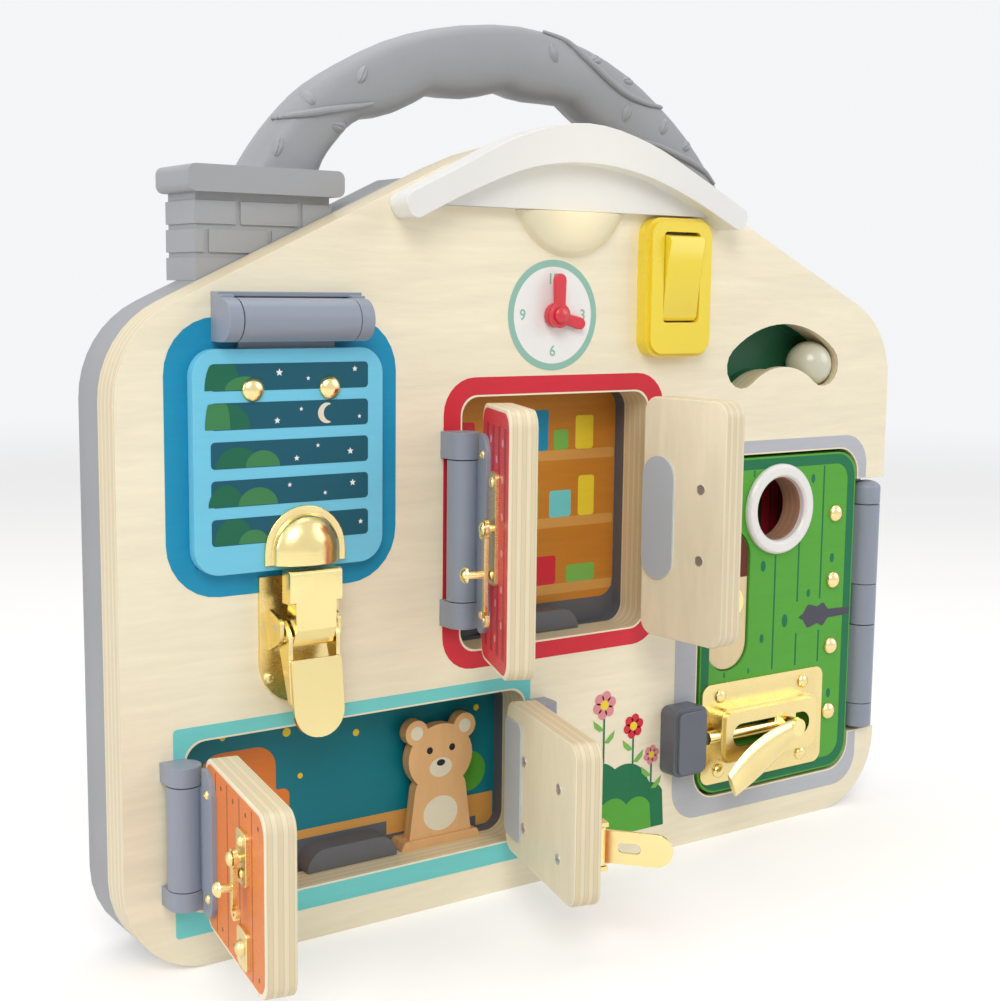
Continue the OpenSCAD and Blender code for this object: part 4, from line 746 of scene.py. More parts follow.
class BOARD_OT_shutter_print(BoardOperator):
    """Blue frame, night sky behind the shutter and the slats on it"""
    bl_idname = "board.shutter_print"
    bl_label = "Shutter Print"

    FRAME = (-181.5, -84.5, 142, 245.5)
    FRAME_CORNER = 21
    RECESS = (-172.5, -93.5, 151, 234)
    RECESS_CORNER = 9
    SLOTS = (218.7, 204.5, 190.3, 176.1, 161.9)
    SLOT_HEIGHT = 9.9
    HILL_INK = 0.02  # thickness of the far and of the near hills
    # A far and a near hill for each slot: x, half its width, height
    SLOT_HILLS = (((-161, 7, 13), (-152, 8, 5)), ((-158, 8, 9), (-163, 5, 14)),
                  ((-155, 9, 7.5), (-145, 7, 6)), ((-160, 7, 8), (-147, 8, 6.5)),
                  ((-157, 8, 10), (-149, 6, 5)))
    # Slot, x, height in the slot, radius
    SLOT_STARS = ((0, -138, 6.4, 1.5), (0, -126, 4.0, 0.9), (0, -106, 7.2, 1.2), (1, -139, 2.8, 1.3),
                  (1, -129, 6.8, 0.9), (1, -104, 3.2, 0.9), (2, -131, 2.6, 1.2), (2, -122, 7.0, 0.9),
                  (2, -108, 4.2, 1.4), (3, -134, 6.9, 1.0), (3, -119, 3.0, 0.9), (3, -107, 6.2, 1.4),
                  (4, -103.5, 5.0, 1.1))
    SKY_STARS = ((-160, 222, 3.0), (-146, 206, 2.2), (-162, 190, 2.0), (-130, 190, 2.6), (-106, 186, 2.0),
                 (-150, 176, 2.6))
    SKY_HILLS = ((-170, 153.3), (-96, 153.3), (-96, 163), (-104, 168), (-114, 170), (-124, 167), (-133, 162),
                 (-143, 165), (-154, 170), (-163, 169), (-170, 164))

    def execute(self, context):
        depth = print_depth()
        frame_print = [box_loop(self.FRAME, self.FRAME_CORNER), box_loop(self.RECESS, self.RECESS_CORNER, -2)]
        print_sheet("shutter_frame_print", [frame_print], "frame_blue")
        print_sheet("night_sky_print", [[box_loop(self.RECESS, self.RECESS_CORNER, -2.1)]], "night_blue")
        stars = [[star_loop(*star)] for star in self.SKY_STARS]
        print_sheet("night_sky_moon", [[crescent(-120, 214, 11, 8.6, 4.5, (60, 75))]] + stars,
                    "print_yellow", under=depth)
        print_sheet("night_sky_hills", [[self.SKY_HILLS]], "recess_teal", under=depth)
        self.slots(depth)
        return {"FINISHED"}

    def slots(self, depth):
        """Five dark openings drawn across the shutter, with hills and a few stars in them"""
        slots = [[box_loop((-165.8, -100.2, z, z + self.SLOT_HEIGHT), 1.6)] for z in self.SLOTS]
        print_sheet("shutter_slots", slots, "slot_teal", ON_SHUTTER)
        far, near = [[[self.hill(z, *hills[i])] for z, hills in zip(self.SLOTS, self.SLOT_HILLS)]
                     for i in (0, 1)]
        print_sheet("slot_hills", far, "slot_green", ON_SHUTTER, depth, self.HILL_INK)
        print_sheet("slot_near_hills", near, "slot_light_green", ON_SHUTTER, depth + self.HILL_INK,
                    self.HILL_INK)
        stars = [[star_loop(x, self.SLOTS[k] + up, size)] for k, x, up, size in self.SLOT_STARS]
        print_sheet("slot_stars", stars, "print_white", ON_SHUTTER, depth)
        moon = crescent(-118, self.SLOTS[1] + self.SLOT_HEIGHT / 2, 3.9, 3.2, 1.7, (70, 95))
        print_sheet("slot_moon", [[moon]], "print_cream", ON_SHUTTER, depth)

    def hill(self, floor, x, half, height):
        """Rounded hill cut off by the slot's top edge"""
        return [(x + half * math.cos(math.radians(a)),
                 floor + 0.25 + min(self.SLOT_HEIGHT - 0.5, height * math.sin(math.radians(a))))
                for a in range(0, 181, 10)]


class BOARD_OT_window_prints(BoardOperator):
    """Red and teal frames, the prints at the back of both windows and those on the leaves"""
    bl_idname = "board.window_prints"
    bl_label = "Window Prints"

    # Building blocks by colour: left, bottom, width, height
    BLOCKS = {
        "teal": ("window_teal", (-46, 126.5, 9, 16), (8, 156.5, 12, 12), (-24, 186.5, 14, 11)),
        "print_yellow": ("print_yellow", (-34, 126.5, 14, 10), (24, 156.5, 9, 18), (22, 186.5, 10, 15)),
        "blue": ("frame_blue", (-16, 126.5, 9, 19), (-44, 156.5, 10, 20), (-2, 186.5, 9, 18)),
        "red": ("window_red", (0, 126.5, 12, 13), (-30, 156.5, 16, 9), (-44, 186.5, 12, 14)),
        "light_green": ("leaf_green", (18, 126.5, 16, 8), (-10, 156.5, 12, 16), (10, 186.5, 8, 9)),
    }
    LIGHTS = ((-167, 72, 1.6), (-150, 81, 1.2), (-122, 79, 1.8), (-108, 80, 1.2), (-90, 74, 1.5),
              (-30, 76, 1.4), (-40, 68, 1.1), (-116, 60, 1.2))

    def execute(self, context):
        depth = print_depth()
        for name, box, corner, window, finish in (
                ("upper", (-62, 54, 100, 221), 15, UPPER_WINDOW, "window_red"),
                ("lower", (-180, -17, 13, 94), 1.6, LOWER_WINDOW, "window_teal")):
            print_sheet(name + "_window_frame", [[box_loop(box, corner), box_loop(window, 8, 0.8)]], finish)
        self.upper_back(depth)
        self.lower_back(depth)
        self.upper_leaves(depth)
        self.lower_leaves(depth)
        return {"FINISHED"}

    def upper_back(self, depth):
        """Toy shelves with plain building blocks"""
        print_sheet("shelf_back", [[box_loop((-52.6, 44.6, 118.5, 212.6), 7.6)]], "shelf_brown",
                    ON_WINDOW_FLOOR)
        shelves = [[box_loop((-52, 44, z, z + 4.5), 1)] for z in (122, 152, 182)]
        print_sheet("shelf_boards", shelves, "shelf_tan", ON_WINDOW_FLOOR, depth)
        for name, (finish, *boxes) in self.BLOCKS.items():
            shapes = [[box_loop((x, x + w, z, z + h), 1.4)] for x, z, w, h in boxes]
            print_sheet("shelf_blocks_" + name, shapes, finish, ON_WINDOW_FLOOR, depth + INK)

    def lower_back(self, depth):
        """Evening room: an armchair and a plant in front of a deep teal wall with small lights"""
        wall = rounded([(-174.6, 22.4), (-119.5, 22.4), (-119.5, 33), (-75.5, 33), (-75.5, 27), (-30, 27),
                        (-30, 22.4), (-20.4, 22.4), (-20.4, 87.6), (-174.6, 87.6)],
                       [7.6, 0, 0, 0, 0, 0, 0, 1.5, 7.6, 7.6])
        print_sheet("room_wall", [[wall]], "recess_teal", ON_WINDOW_FLOOR)
        boards = rounded([(-174, 22.8), (-119.7, 22.8), (-119.7, 33.2), (-75.3, 33.2), (-75.3, 27.2),
                          (-29.8, 27.2), (-29.8, 22.8), (-21, 22.8), (-21, 37), (-174, 37)],
                         [7, 0, 0, 0, 0, 0, 0, 1.5, 0, 0])
        chair = rounded([(-166, 30), (-121, 30), (-121, 56), (-127, 56), (-127, 75), (-160, 75), (-160, 56),
                         (-166, 56)], [3, 3, 3, 1, 9, 9, 1, 3])
        plant = [[circle_loop(-34, 48, 9, 32)], [circle_loop(-44, 41, 6, 28)]]
        lights = [[circle_loop(x, z, r, 16)] for x, z, r in self.LIGHTS]
        for name, shapes, finish, layer in (
                ("floor", [[boards]], "shelf_tan", 0), ("armchair", [[chair]], "plank_orange", 1),
                ("cushion", [[circle_loop(-143.5, 54, 8.5, 32)]], "slot_teal", 2),
                ("plant", plant, "door_green", 1), ("lights", lights, "print_yellow", 0)):
            print_sheet("room_" + name, shapes, finish, ON_WINDOW_FLOOR, depth + layer * INK)

    def upper_leaves(self, depth):
        """Curtain print: soft folds with dots, the same on both leaves"""
        for leaf, left in (("upper_left_leaf", -52.0), ("upper_right_leaf", -3.5)):
            place = (LEAF, leaf, "plywood")
            print_sheet(leaf + "_print", [[box_loop((left, left + 47.5, 108.8, 212.2), 7, -1.6)]],
                        "window_red", place)
            folds = [[rounded([(x, 116), (x + 4.2, 116), (x + 3.0, 160), (x + 4.2, 205), (x + 0.4, 205),
                               (x + 1.4, 160)], 0.4)] for x in (left + 8 + 10 * i for i in range(4))]
            print_sheet(leaf + "_folds", folds, "window_dark_red", place, depth)
            dots = [[circle_loop(left + 6.2 + 10 * i, 122 + 14 * k + 7 * (i % 2), 1.5, 20)]
                    for i in range(4) for k in range(6)]
            print_sheet(leaf + "_dots", dots, "print_pink", place, depth)

    def lower_leaves(self, depth):
        """Orange garden-gate planks with drawn nails"""
        for leaf, left in (("lower_left_leaf", -174.0), ("lower_right_leaf", -97.0)):
            place = (LEAF, leaf, "plywood")
            print_sheet(leaf + "_print", [[box_loop((left, left + 76.0, 22.8, 87.2), 7, -1.6)]],
                        "plank_orange", place)
            grooves = [[box_loop((left + x, left + x + 0.9, 25.4, 84.6), 0.3)]
                       for x in (14.6, 29.8, 45.3, 60.5)]
            print_sheet(leaf + "_grooves", grooves, "plank_groove", place, depth)
            nails = [[circle_loop(left + x, z, 0.9, 14)] for x in (22.5, 38, 53.5, 68.5) for z in (29, 81)]
            print_sheet(leaf + "_nails", nails, "print_brown", place, depth)


class BOARD_OT_door_print(BoardOperator):
    """Grey surround, plank grooves, strap mark and border of the green door"""
    bl_idname = "board.door_print"
    bl_label = "Door Print"

    KNOTS = ((118.5, 128, 1.6), (150, 168, 1.3), (134, 100, 1.9), (165, 128, 1.4), (119, 93, 1.3),
             (149.5, 112, 1.2), (166, 60, 1.4))
    LINING = ((15.4, 0.1), (15.0, 0.2), (15.0, 11.6), (15.4, 11.7), (15.4, 0.1))
    DRAWN = 0.05  # thickness of what is drawn on the door, and of the strap over it
    STRAP_INK = 0.04

    def execute(self, context):
        surround = rounded([(65, 12), (187, 12), (187, 37.5), (181.8, 37.5), (181.8, 19.7), (77.7, 19.7),
                            (77.7, 182.3), (181.8, 182.3), (181.8, 166.5), (187, 166.5), (187, 188),
                            (65, 188)], [15, 15, 0, 0, 13.8, 13.8, 13.8, 13.8, 0, 0, 15, 15])
        print_sheet("door_surround", [[surround]], "surround_grey")
        face = (80, 179.5, 22, 180)
        grooves = [groove for x in (95.5, 111, 126.5, 142, 157.5) for groove in self.grooves(x, 77, 174)]
        knots = [[circle_loop(x, z, r, 18, 1.7 * r)] for x, z, r in self.KNOTS]
        border = [box_loop(face, 12, -0.8), box_loop(face, 8, -5.6)]
        strap = self.strap(143, 178.6, 100.5)
        # The dark top of the lock plate is painted shade: a flat sheet for the shadow inside the recess above
        # the lock
        upper = rounded([(84.9, 124), (109.1, 124), (109.1, 146.1), (84.9, 146.1)], [0.5, 0.5, 11.9, 11.9])
        print_sheet("door_border", [border], "border_green", ON_DOOR, thick=self.DRAWN)
        print_sheet("door_grooves", grooves, "border_green", ON_DOOR, thick=self.DRAWN)
        print_sheet("door_strap", [[strap]], "strap_grey", ON_DOOR, self.DRAWN, self.STRAP_INK)
        print_sheet("lock_plate_recess_shade", [[upper]], "painted_recess_shade_brown", ON_LOCK_PLATE, thick=self.DRAWN)
        print_sheet("door_knots", knots, "border_green", ON_DOOR, thick=self.DRAWN)
        self.hallway(print_depth())
        self.lining()
        return {"FINISHED"}

    def hallway(self, depth):
        """Print on the floor of the tray behind the door: brown wall, red curtain and a round lamp"""
        print_sheet("hall_wall", [[box_loop((78.9, 173.6, 20.9, 181.1), 7.6)]], "print_brown", ON_DOOR_FLOOR)
        curtain = [[box_loop((x, x + 5.2, 74, 172), 2.4)] for x in (148, 154, 160, 166)]
        lamp = [[circle_loop(112, 150, 12, 36)], [box_loop((111, 113, 62, 138), 0.5)]]
        for name, shapes, finish in (("boards", [[box_loop((80, 172.5, 24, 62), 3)]], "shelf_brown"),
                                     ("curtain", curtain, "window_red"), ("lamp", lamp, "plank_orange")):
            print_sheet("hall_" + name, shapes, finish, ON_DOOR_FLOOR, depth)

    def lining(self):
        """Wood that shows inside the porthole, behind its white ring"""
        bm = bmesh.new()
        x, z = PORTHOLE
        add_lathe(bm, self.LINING, (x, LEAF + DOOR_T, z), 96)
        bmesh.ops.remove_doubles(bm, verts=bm.verts, dist=0.001)
        finished("porthole_lining", bm, "lining_wood", "door")

    @staticmethod
    def grooves(x, low, high):
        """Pieces of the groove at x that stay clear of the fittings"""
        spans = []
        start = None
        z = low
        while z <= high:
            blocked = (math.hypot(x - PORTHOLE[0], z - PORTHOLE[1]) < 22.6  # porthole ring
                       or (82 < x < 112 and 79 < z < 149)  # lock plate
                       or any(abs(z - r) < 6 and abs(x - 166) < 6 for r in (84, 117, 150))  # rivets
                       or (x > 140 and 92.5 < z < 108.5))  # strap
            if not blocked and start is None:
                start = z
            if blocked and start is not None:
                spans.append((start, z))
                start = None
            z += 0.5
        if start is not None:
            spans.append((start, high))
        return [[box_loop((x - 0.5, x + 0.5, a, b), 0.2)] for a, b in spans if b - a > 2]

    @staticmethod
    def strap(left, right, z):
        """Drawn iron strap: a leaf-shaped end on a narrow bar that runs to the border"""
        upper = [(left + 3.5, z + 1.6), (left + 6.5, z + 6), (left + 13, z + 4.2), (left + 17, z + 6),
                 (left + 20.5, z + 2.2), (right, z + 1.8)]
        lower = [(x, 2 * z - top) for x, top in reversed(upper)]
        radii = [0.6, 1.8, 1.2, 1.4, 0.8, 0.3]
        return rounded([(left, z)] + upper + lower, [0.4] + radii + radii[::-1])


class BOARD_OT_clock_and_figure(BoardOperator):
    """Clock face with its numbers, and the printed features of the bear"""
    bl_idname = "board.clock_and_figure"
    bl_label = "Clock and Figure"

    CLOCK = (-8, 246)
    RIM = 23  # radii of the dial's ring, the dial and the hole round its spindle
    DIAL = 20.1
    HUB = 2.6
    NUMBERS = (("12", 0, 14.9), ("3", 15.6, 0), ("6", 0, -15.0), ("9", -15.6, 0))
    NUMBER_SIZE = 6.2
    NUMBER_WEIGHT = 0.12
    PATCH = 0.06  # thickness of the pale patches on the bear, and of its eyes and nose
    EYES = 0.04

    def execute(self, context):
        x, z = self.CLOCK
        y = FRONT - print_depth() - INK
        dial = circle_loop(x, z, self.DIAL, 72)
        print_sheet("clock_ring", [[circle_loop(x, z, self.RIM, 72), dial]], "dial_teal")
        print_sheet("clock_face", [[dial, circle_loop(x, z, self.HUB, 24)]], "print_white")
        for text, right, up in self.NUMBERS:
            self.number("clock_number_" + text, text, Vector((x + right, y, z + up)))
        self.bear()
        return {"FINISHED"}

    def number(self, name, text, place):
        """One number of the dial as a thin mesh"""
        curve = bpy.data.curves.new(name, "FONT")
        curve.body = text
        curve.align_x, curve.align_y = "CENTER", "CENTER"
        curve.size = self.NUMBER_SIZE * MM
        curve.offset = self.NUMBER_WEIGHT * MM
        holder = bpy.data.objects.new(name, curve)
        bpy.context.scene.collection.objects.link(holder)
        mesh = bpy.data.meshes.new_from_object(holder.evaluated_get(bpy.context.evaluated_depsgraph_get()))
        bpy.data.objects.remove(holder)
        mesh.transform(Matrix.Translation(place * MM) @ Matrix.Rotation(math.pi / 2, 4, "X"))
        new_piece(name, mesh, "dial_teal", "board")

    def bear(self):
        """Eyes, muzzle and belly printed on the cut-out bear"""
        x = sum(corner[0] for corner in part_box("figure")) / 2 / MM
        ears = [[circle_loop(x + side * 12, 72, 3, 20)] for side in (-1, 1)]
        print_sheet("bear_light_patches",
                    [[circle_loop(x, 55.6, 5.6, 28, 4.2)], [circle_loop(x, 35.5, 8.6, 28, 7.6)]] + ears,
                    "print_cream", ON_FIGURE, thick=self.PATCH)
        eyes = [[circle_loop(x + side * 5.6, 63.6, 1.5, 18)] for side in (-1, 1)]
        print_sheet("bear_eyes_and_nose", eyes + [[circle_loop(x, 57.6, 2.1, 18, 1.4)]], "print_ink",
                    ON_FIGURE, self.PATCH, self.EYES)


class BOARD_OT_garden_print(BoardOperator):
    """Bushes and plain flowers between the lower window and the door"""
    bl_idname = "board.garden_print"
    bl_label = "Garden Print"

    GROUND = 12.5
    BACK_BUSH = ((6, 26, 11), (20, 33, 15), (37, 31, 14), (51, 25, 9))
    FRONT_BUSH = ((4, 20, 7.5), (15, 23, 10), (30, 21, 9), (44, 20, 8.5))
    FLOWERS = ((8, 58, 4.6), (24, 74, 5.4), (41, 62, 4.8), (52, 47, 3.8))
    BUSH_INK = 0.04  # thickness of the front bush, which the petals clear too
    LEAF_INK = 0.05

    def execute(self, context):
        depth, petal = print_depth(), self.BUSH_INK
        print_sheet("garden_back_bush", [[self.bush(self.BACK_BUSH)]], "border_green")
        print_sheet("garden_front_bush", [[self.bush(self.FRONT_BUSH)]], "door_green", under=depth,
                    thick=self.BUSH_INK)
        stems, red, pink, hearts, leaves = [], [], [], [], []
        for (x, z, r), petals in zip(self.FLOWERS, (red, pink, red, pink)):
            foot = 1.04 * z - r - 24  # a tall flower stands further up in the bush
            stems.append([[(x - 0.5, foot), (x + 0.5, foot), (x + 0.5, z), (x - 0.5, z)]])
            petals += [[circle_loop(px, pz, r * 0.46, 20)] for px, pz in arc(x, z, r * 0.75, 15, 375, 60)]
            hearts.append([circle_loop(x, z, r * 0.42, 20)])
            leaves += [[self.blade(x, z - r - 9 - 3 * side, side)] for side in (-1, 1)]
        for name, shapes, finish, lift, thick in (
                ("stems", stems, "border_green", 0, INK), ("leaves", leaves, "leaf_green", 0, self.LEAF_INK),
                ("petals", red, "window_red", petal, INK), ("petals_pink", pink, "print_pink", petal, INK),
                ("hearts", hearts, "print_yellow", petal + INK, INK)):
            print_sheet("flower_" + name, shapes, finish, under=depth + lift, thick=thick)
        return {"FINISHED"}

    @staticmethod
    def blade(x, z, side):
        """Leaf that points up from a stem to one side"""
        return [(x, z), (x + side * 2.6, z + 2.6), (x + side * 6.2, z + 5.2), (x + side * 5.4, z + 1.8),
                (x + side * 2.8, z - 0.4)]

    def bush(self, bumps):
        """Outline over a row of round bumps (x, z, radius), closed along the ground"""
        left = bumps[0][0] - bumps[0][2]
        right = bumps[-1][0] + bumps[-1][2]
        outline = [(left, self.GROUND), (right, self.GROUND)]
        steps = 60
        for i in range(steps + 1):
            x = right + (left - right) * i / steps
            tops = [bz + math.sqrt(r * r - (x - bx) ** 2) for bx, bz, r in bumps if abs(x - bx) < r]
            outline.append((x, max([self.GROUND + 1] + tops)))
        return outline


class BOARD_OT_trim(BoardOperator):
    """Small screws of the hinges, and the fittings on the inside of the leaves"""
    bl_idname = "board.trim"
    bl_label = "Screws and Trim"

    SCREW = ((1.9, 0.0), (1.85, 0.35), (1.4, 0.75), (0.75, 0.95), (0.7, 0.55), (0.0, 0.45))
    # Hinge screws of a leaf: x, and their heights
    SCREWS = {"upper_left_leaf": (-42, (128, 160, 192)), "upper_right_leaf": (34, (128, 160, 192)),
              "lower_left_leaf": (-164, (36, 75)), "lower_right_leaf": (-31, (36, 75))}
    # Pad of a leaf: its box and the radius of its corners
    PADS = {"upper_left_leaf": ((-51.4, -33.4, 134, 187), 8.9),
            "upper_right_leaf": ((25.4, 43.4, 134, 187), 8.9),
            "lower_left_leaf": ((-173.4, -155.4, 30, 80), 3),
            "lower_right_leaf": ((-39.6, -21.6, 30, 80), 3)}
    # Screw ends of a leaf: their x and their heights
    ENDS = {"upper_left_leaf": ((-18,), (175, 145)), "upper_right_leaf": ((10,), (175, 145)),
            "lower_left_leaf": ((-152.5, -114), (66, 38)), "lower_right_leaf": ((-42.5, -80), (66, 38))}
    HINGE_PLATE = LEAF - 2  # front of the plate that the screws hold
    INSIDE = LEAF + LEAF_T
    PAD = 0.8  # thickness of a pad, and the rounding of its edge
    PAD_EDGE = 0.25
    END = 0.35  # how far a screw end stands out of the wood, and the floor of its slot
    SLOT_FLOOR = 0.08
    END_RADIUS = 2.1

    def execute(self, context):
        for leaf, (x, heights) in self.SCREWS.items():
            bm = bmesh.new()
            for z in heights:
                add_lathe(bm, self.SCREW, (x, self.HINGE_PLATE, z), 20)
            finished(leaf + "_hinge_screws", bm, "pressed_brass", leaf)
        for leaf, (box, corner) in self.PADS.items():
            bm = bmesh.new()
            add_sheet(bm, [box_loop(box, corner)], self.INSIDE, self.INSIDE + self.PAD)
            # Pads take the paler grey that paints the light falling on the leaves' insides
            finished(leaf + "_pad", bm, "pad_plastic", leaf, bevel=self.PAD_EDGE)
        for leaf, (across, heights) in self.ENDS.items():
            bm = bmesh.new()
            for x in across:
                for z in heights:
                    self.screw_end(bm, x, z)
            finished(leaf + "_screw_ends", bm, "zinc_steel", leaf, smooth=False)
        return {"FINISHED"}

    def screw_end(self, bm, x, z):
        """Flat screw end with a slot, set in the inside of a leaf"""
        for way in (1, -1):
            half = arc(x, z, self.END_RADIUS, 10 * way, 171 * way, 10 * way)
            add_sheet(bm, [half], self.INSIDE, self.INSIDE + self.END)
        slot = box_loop((x - 2.0, x + 2.0, z - 0.45, z + 0.45), 0.1)
        add_sheet(bm, [slot], self.INSIDE, self.INSIDE + self.SLOT_FLOOR)


class BOARD_OT_vine(BoardOperator):
    """Raised vine with leaves winding over the front of the handle"""
    bl_idname = "board.vine"
    bl_label = "Handle Vine"

    STEMS = (
        ((-122, 320.5), (-116.7, 321.7), (-108.6, 323.4), (-101, 325), (-91.5, 326.9), (-82.5, 328.9)),
        ((4, 365), (14.5, 362.4), (23.4, 355.9), (35.5, 348), (44.5, 343.1), (54, 340), (63, 338.6),
         (71, 338.4)),
        ((57, 323), (66, 321), (76, 318), (86, 314.8), (95, 311), (102, 306)),
    )
    # Leaves of the vine: x, z, direction in degrees, half their length
    BLADES = (
        (-110.5, 330, 120, 5.0), (-87, 339.5, 60, 4.6), (-96, 318.5, -10, 5.4), (-124, 309.5, 250, 4.6),
        (6.5, 356.5, 100, 5.0), (31.5, 356.5, 20, 5.0), (50, 349, 10, 4.8), (47, 334.5, 250, 5.2),
        (69, 330, 60, 4.8), (84, 322.5, 30, 4.8), (76, 309, 240, 4.6), (98, 299, 250, 5.0),
    )

    STEM = 1.5  # radius in the middle of a stem
    STEM_LIFT = 0.6  # height of its middle line over the handle
    CROWN = 1.9  # how far a leaf stands out, how deep its midrib and its edge are sunk
    RIB = 0.45
    SUNK = 0.35
    ROUND_EDGE = 4.5  # how far back from a leaf's middle the handle still carries it

    def execute(self, context):
        bm = bmesh.new()
        for stem in self.STEMS:
            line = smooth_points([(x, 0, z) for x, z in stem], 36)
            path = [on_handle(p.x, p.z, self.STEM_LIFT)[0] for p in line]
            count = len(path) - 1
            taper = [0.45 + 0.55 * math.sin(math.pi * i / count) for i in range(count + 1)]
            add_tube(bm, path, self.STEM, 10, taper)
        finished("vine_stems", bm, "housing_plastic", "board")
        bm = bmesh.new()
        for x, z, turn, size in self.BLADES:
            self.blade(bm, x, z, math.radians(turn), size)
        finished("vine_leaves", bm, "housing_plastic", "board")
        return {"FINISHED"}

    def settle(self, px, pz, x, z):
        """Point of the handle at px, pz, or the nearest one towards x, z that isn't round its edge"""
        centre, normal = on_handle(x, z)
        for k in range(20):
            t = k / 20
            try:
                place, normal = on_handle(px + (x - px) * t, pz + (z - pz) * t)
            except RuntimeError:
                continue
            if place.y - centre.y < self.ROUND_EDGE:
                return place, normal
        return centre, normal

    def blade(self, bm, x, z, turn, size):
        """Heart-shaped leaf with a sunk midrib, laid on the handle"""
        rows, half = 9, 4
        verts = []
        for i in range(rows):
            u = i / (rows - 1)
            # Blunt where it grows from the stem, pointed at the tip
            width = size * 0.52 * math.sin(math.pi * min(1.0, u * 0.94 + 0.06)) ** 0.75
            along = (u - 0.5) * 2 * size * 0.95
            line = []
            for k in range(-half, half + 1):
                v = k / half
                px = x + along * math.cos(turn) - v * width * math.sin(turn)
                pz = z + along * math.sin(turn) + v * width * math.cos(turn)
                crown = self.CROWN * (1 - abs(v) ** 2.4) * math.sin(math.pi * u) ** 0.5
                rib = self.RIB * max(0.0, 1 - abs(v) * 4.5)
                lift = crown - rib - self.SUNK
                place, normal = self.settle(px, pz, x, z)
                line.append(bm.verts.new(place - Vector((0, lift, 0)) * abs(normal.y) ** 0.5))
            verts.append(line)
        for a, b in zip(verts, verts[1:]):
            for k in range(len(a) - 1):
                bm.faces.new((a[k], a[k + 1], b[k + 1], b[k]))


class BOARD_OT_lanyard(BoardOperator):
    """Woven cord that loops from its staple up to the key"""
    bl_idname = "board.lanyard"
    bl_label = "Lanyard"

    ROUTE = ((203, 0, 134), (203, 0, 122), (203, 0, 112), (203, 1.2, 104.5), (203, 4.2, 101),
             (203, 7.75, 99.8), (203, 11.3, 101), (203, 14.3, 104.5), (203, 15.5, 112), (203, 15.5, 126),
             (203, 15.5, 142), (203, 15.5, 158), (203, 15.5, 172), (203.2, 15.2, 182), (203.3, 14, 189))
    STEPS = 56  # pieces along the cord
    SIDES = 14

    def execute(self, context):
        points = smooth_points(self.ROUTE, self.STEPS)
        bm = bmesh.new()
        add_tube(bm, points, sizes().cord / MM / 2, self.SIDES)
        piece = finished("lanyard_cord", bm, "lanyard_weave", "board")
        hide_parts("lanyard")
        return {"FINISHED"}


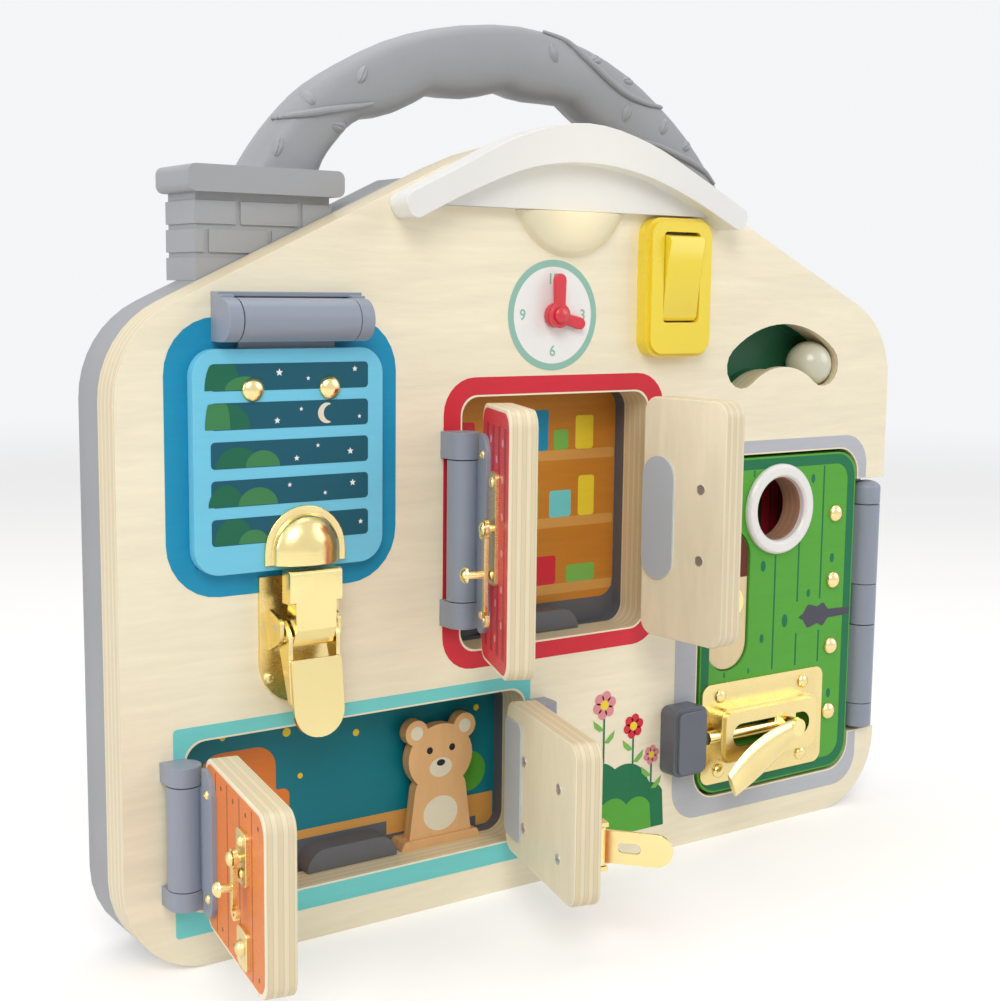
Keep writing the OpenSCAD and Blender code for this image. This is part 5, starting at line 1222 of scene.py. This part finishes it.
class BOARD_OT_stage(BoardOperator):
    """Pale floor, soft studio lights and the camera"""
    bl_idname = "board.stage"
    bl_label = "Stage"

    # Camera: place, direction of view, upwards, focal length on a 36 mm sensor
    PLACE = (-0.40585, -0.55233, 0.25632)
    LOOK = (0.56917, 0.81146, -0.13259)
    UP = (0.06683, 0.11506, 0.99111)
    LENS = 56.7
    SENSOR = 36.0
    FLOOR = 9.0  # radius
    PALE = (0.7, 2.6)  # distances at which the floor begins and ends to pale into the background
    NEAR_GLOW = 0.3  # of the floor under the board
    SKY = 0.93  # how bright the background looks
    SKY_COLOUR = (0.98, 0.985, 1.0, 1.0)
    WORLD_LIGHT = 0.35  # how much of the background lights the board
    # Lamps: name, place, diameter, watts, colour
    MIDDLE = Vector((0, 0, 0.17))
    LAMPS = (("key_light", (-0.95, -1.45, 1.5), 1.3, 21.0, (1.0, 0.97, 0.93)),
             ("fill_light", (1.5, -1.2, 1.0), 1.4, 9.5, (0.96, 0.98, 1.0)),
             ("top_light", (0.1, 0.3, 1.9), 1.6, 11.0, (1.0, 1.0, 1.0)),
             ("side_light", (-1.7, 0.2, 0.8), 1.1, 9.0, (1.0, 0.98, 0.96)))

    def execute(self, context):
        self.floor()
        self.camera(context.scene)
        self.lights(context.scene)
        self.background(context.scene)
        context.scene.view_settings.view_transform = "Standard"
        return {"FINISHED"}

    def floor(self):
        """Plain round floor that pales into the background all round the board"""
        bm = bmesh.new()
        bmesh.ops.create_circle(bm, cap_ends=True, segments=96, radius=self.FLOOR)
        mesh = bpy.data.meshes.new("studio_floor")
        bm.to_mesh(mesh)
        bm.free()
        floor = bpy.data.objects.new("studio_floor", mesh)
        bpy.context.scene.collection.objects.link(floor)
        tree, shader, position = start_material("floor_paper", roughness=0.9, specular=0.0)
        far = faded(tree, vector_maths(tree, "LENGTH", position), *self.PALE)
        base = mixed(tree, noise(tree, position, 4.0, 2.0), (0.80, 0.79, 0.775, 1), (0.84, 0.83, 0.815, 1))
        tree.links.new(mixed(tree, far, base, (0.0, 0.0, 0.0, 1)), shader.inputs["Base Color"])
        glow = maths(tree, "MULTIPLY_ADD", far, self.SKY - self.NEAR_GLOW, self.NEAR_GLOW)
        shader.inputs["Emission Color"].default_value = self.SKY_COLOUR
        tree.links.new(maths(tree, "MULTIPLY", self.plainly_seen(tree), glow),
                       shader.inputs["Emission Strength"])
        mesh.materials.append(MATERIALS["floor_paper"])

    @staticmethod
    def plainly_seen(tree):
        """1 for what the camera sees, also in metal or through clear plastic"""
        path = tree.nodes.new("ShaderNodeLightPath")
        seen = maths(tree, "MAXIMUM", path.outputs["Is Camera Ray"], path.outputs["Is Glossy Ray"])
        return maths(tree, "MAXIMUM", seen, path.outputs["Is Transmission Ray"])

    def camera(self, scene):
        """Camera in its place, turned by its direction of view"""
        data = bpy.data.cameras.new("view_camera")
        data.lens = self.LENS
        data.sensor_width = self.SENSOR
        data.sensor_fit = "HORIZONTAL"
        data.clip_start = 0.01
        camera = bpy.data.objects.new("view_camera", data)
        back = -Vector(self.LOOK).normalized()
        right = Vector(self.UP).cross(back).normalized()
        turn = Matrix((right, back.cross(right).normalized(), back)).transposed().to_4x4()
        camera.matrix_world = Matrix.Translation(self.PLACE) @ turn
        scene.collection.objects.link(camera)
        scene.camera = camera

    def lights(self, scene):
        """Round soft lamps, all turned to the middle of the board"""
        for name, place, size, power, tint in self.LAMPS:
            data = bpy.data.lights.new(name, "AREA")
            data.shape = "DISK"
            data.size = size
            data.energy = power
            data.color = tint
            light = bpy.data.objects.new(name, data)
            light.location = place
            light.rotation_euler = (self.MIDDLE - Vector(place)).to_track_quat("-Z", "Y").to_euler()
            scene.collection.objects.link(light)

    def background(self, scene):
        """Pale world that lights the board less than it shows"""
        world = scene.world = bpy.data.worlds.new("studio_world")
        world.use_nodes = True
        tree = world.node_tree
        tree.nodes.clear()
        strength = maths(tree, "MULTIPLY_ADD", self.plainly_seen(tree), self.SKY - self.WORLD_LIGHT,
                         self.WORLD_LIGHT)
        sky = linked(tree, "ShaderNodeBackground", {"Color": self.SKY_COLOUR, "Strength": strength})
        linked(tree, "ShaderNodeOutputWorld", {0: sky.outputs[0]})


# ---------------------------------------------------------------- panel and registration

STEPS = (BOARD_OT_finishes, BOARD_OT_shutter_print, BOARD_OT_window_prints, BOARD_OT_door_print,
         BOARD_OT_clock_and_figure, BOARD_OT_garden_print, BOARD_OT_trim, BOARD_OT_vine,
         BOARD_OT_lanyard, BOARD_OT_stage)


class BOARD_PT_steps(bpy.types.Panel):
    """Lists the build steps and the settings of the board"""
    bl_label = "Busy Board"
    bl_idname = "BOARD_PT_steps"
    bl_space_type = "VIEW_3D"
    bl_region_type = "UI"
    bl_category = "Busy Board"

    def draw(self, context):
        for step in STEPS:
            self.layout.operator(step.bl_idname)
        for group in (context.scene.board_colours, context.scene.board_sizes):
            for name in group.__annotations__:
                self.layout.prop(group, name)


CLASSES = (BoardColours, BoardSizes) + STEPS + (BOARD_PT_steps,)


def register():
    """Adds the board's settings, steps and panel."""
    for cls in CLASSES:
        bpy.utils.register_class(cls)
    bpy.types.Scene.board_colours = bpy.props.PointerProperty(type=BoardColours)
    bpy.types.Scene.board_sizes = bpy.props.PointerProperty(type=BoardSizes)


def unregister():
    """Takes them out again."""
    del bpy.types.Scene.board_sizes
    del bpy.types.Scene.board_colours
    for cls in reversed(CLASSES):
        bpy.utils.unregister_class(cls)


def main():
    """Runs every step in order."""
    register()
    for step in STEPS:
        getattr(bpy.ops.board, step.bl_idname.split(".")[1])()
    bpy.context.view_layer.update()


if __name__ == "__main__":
    main()
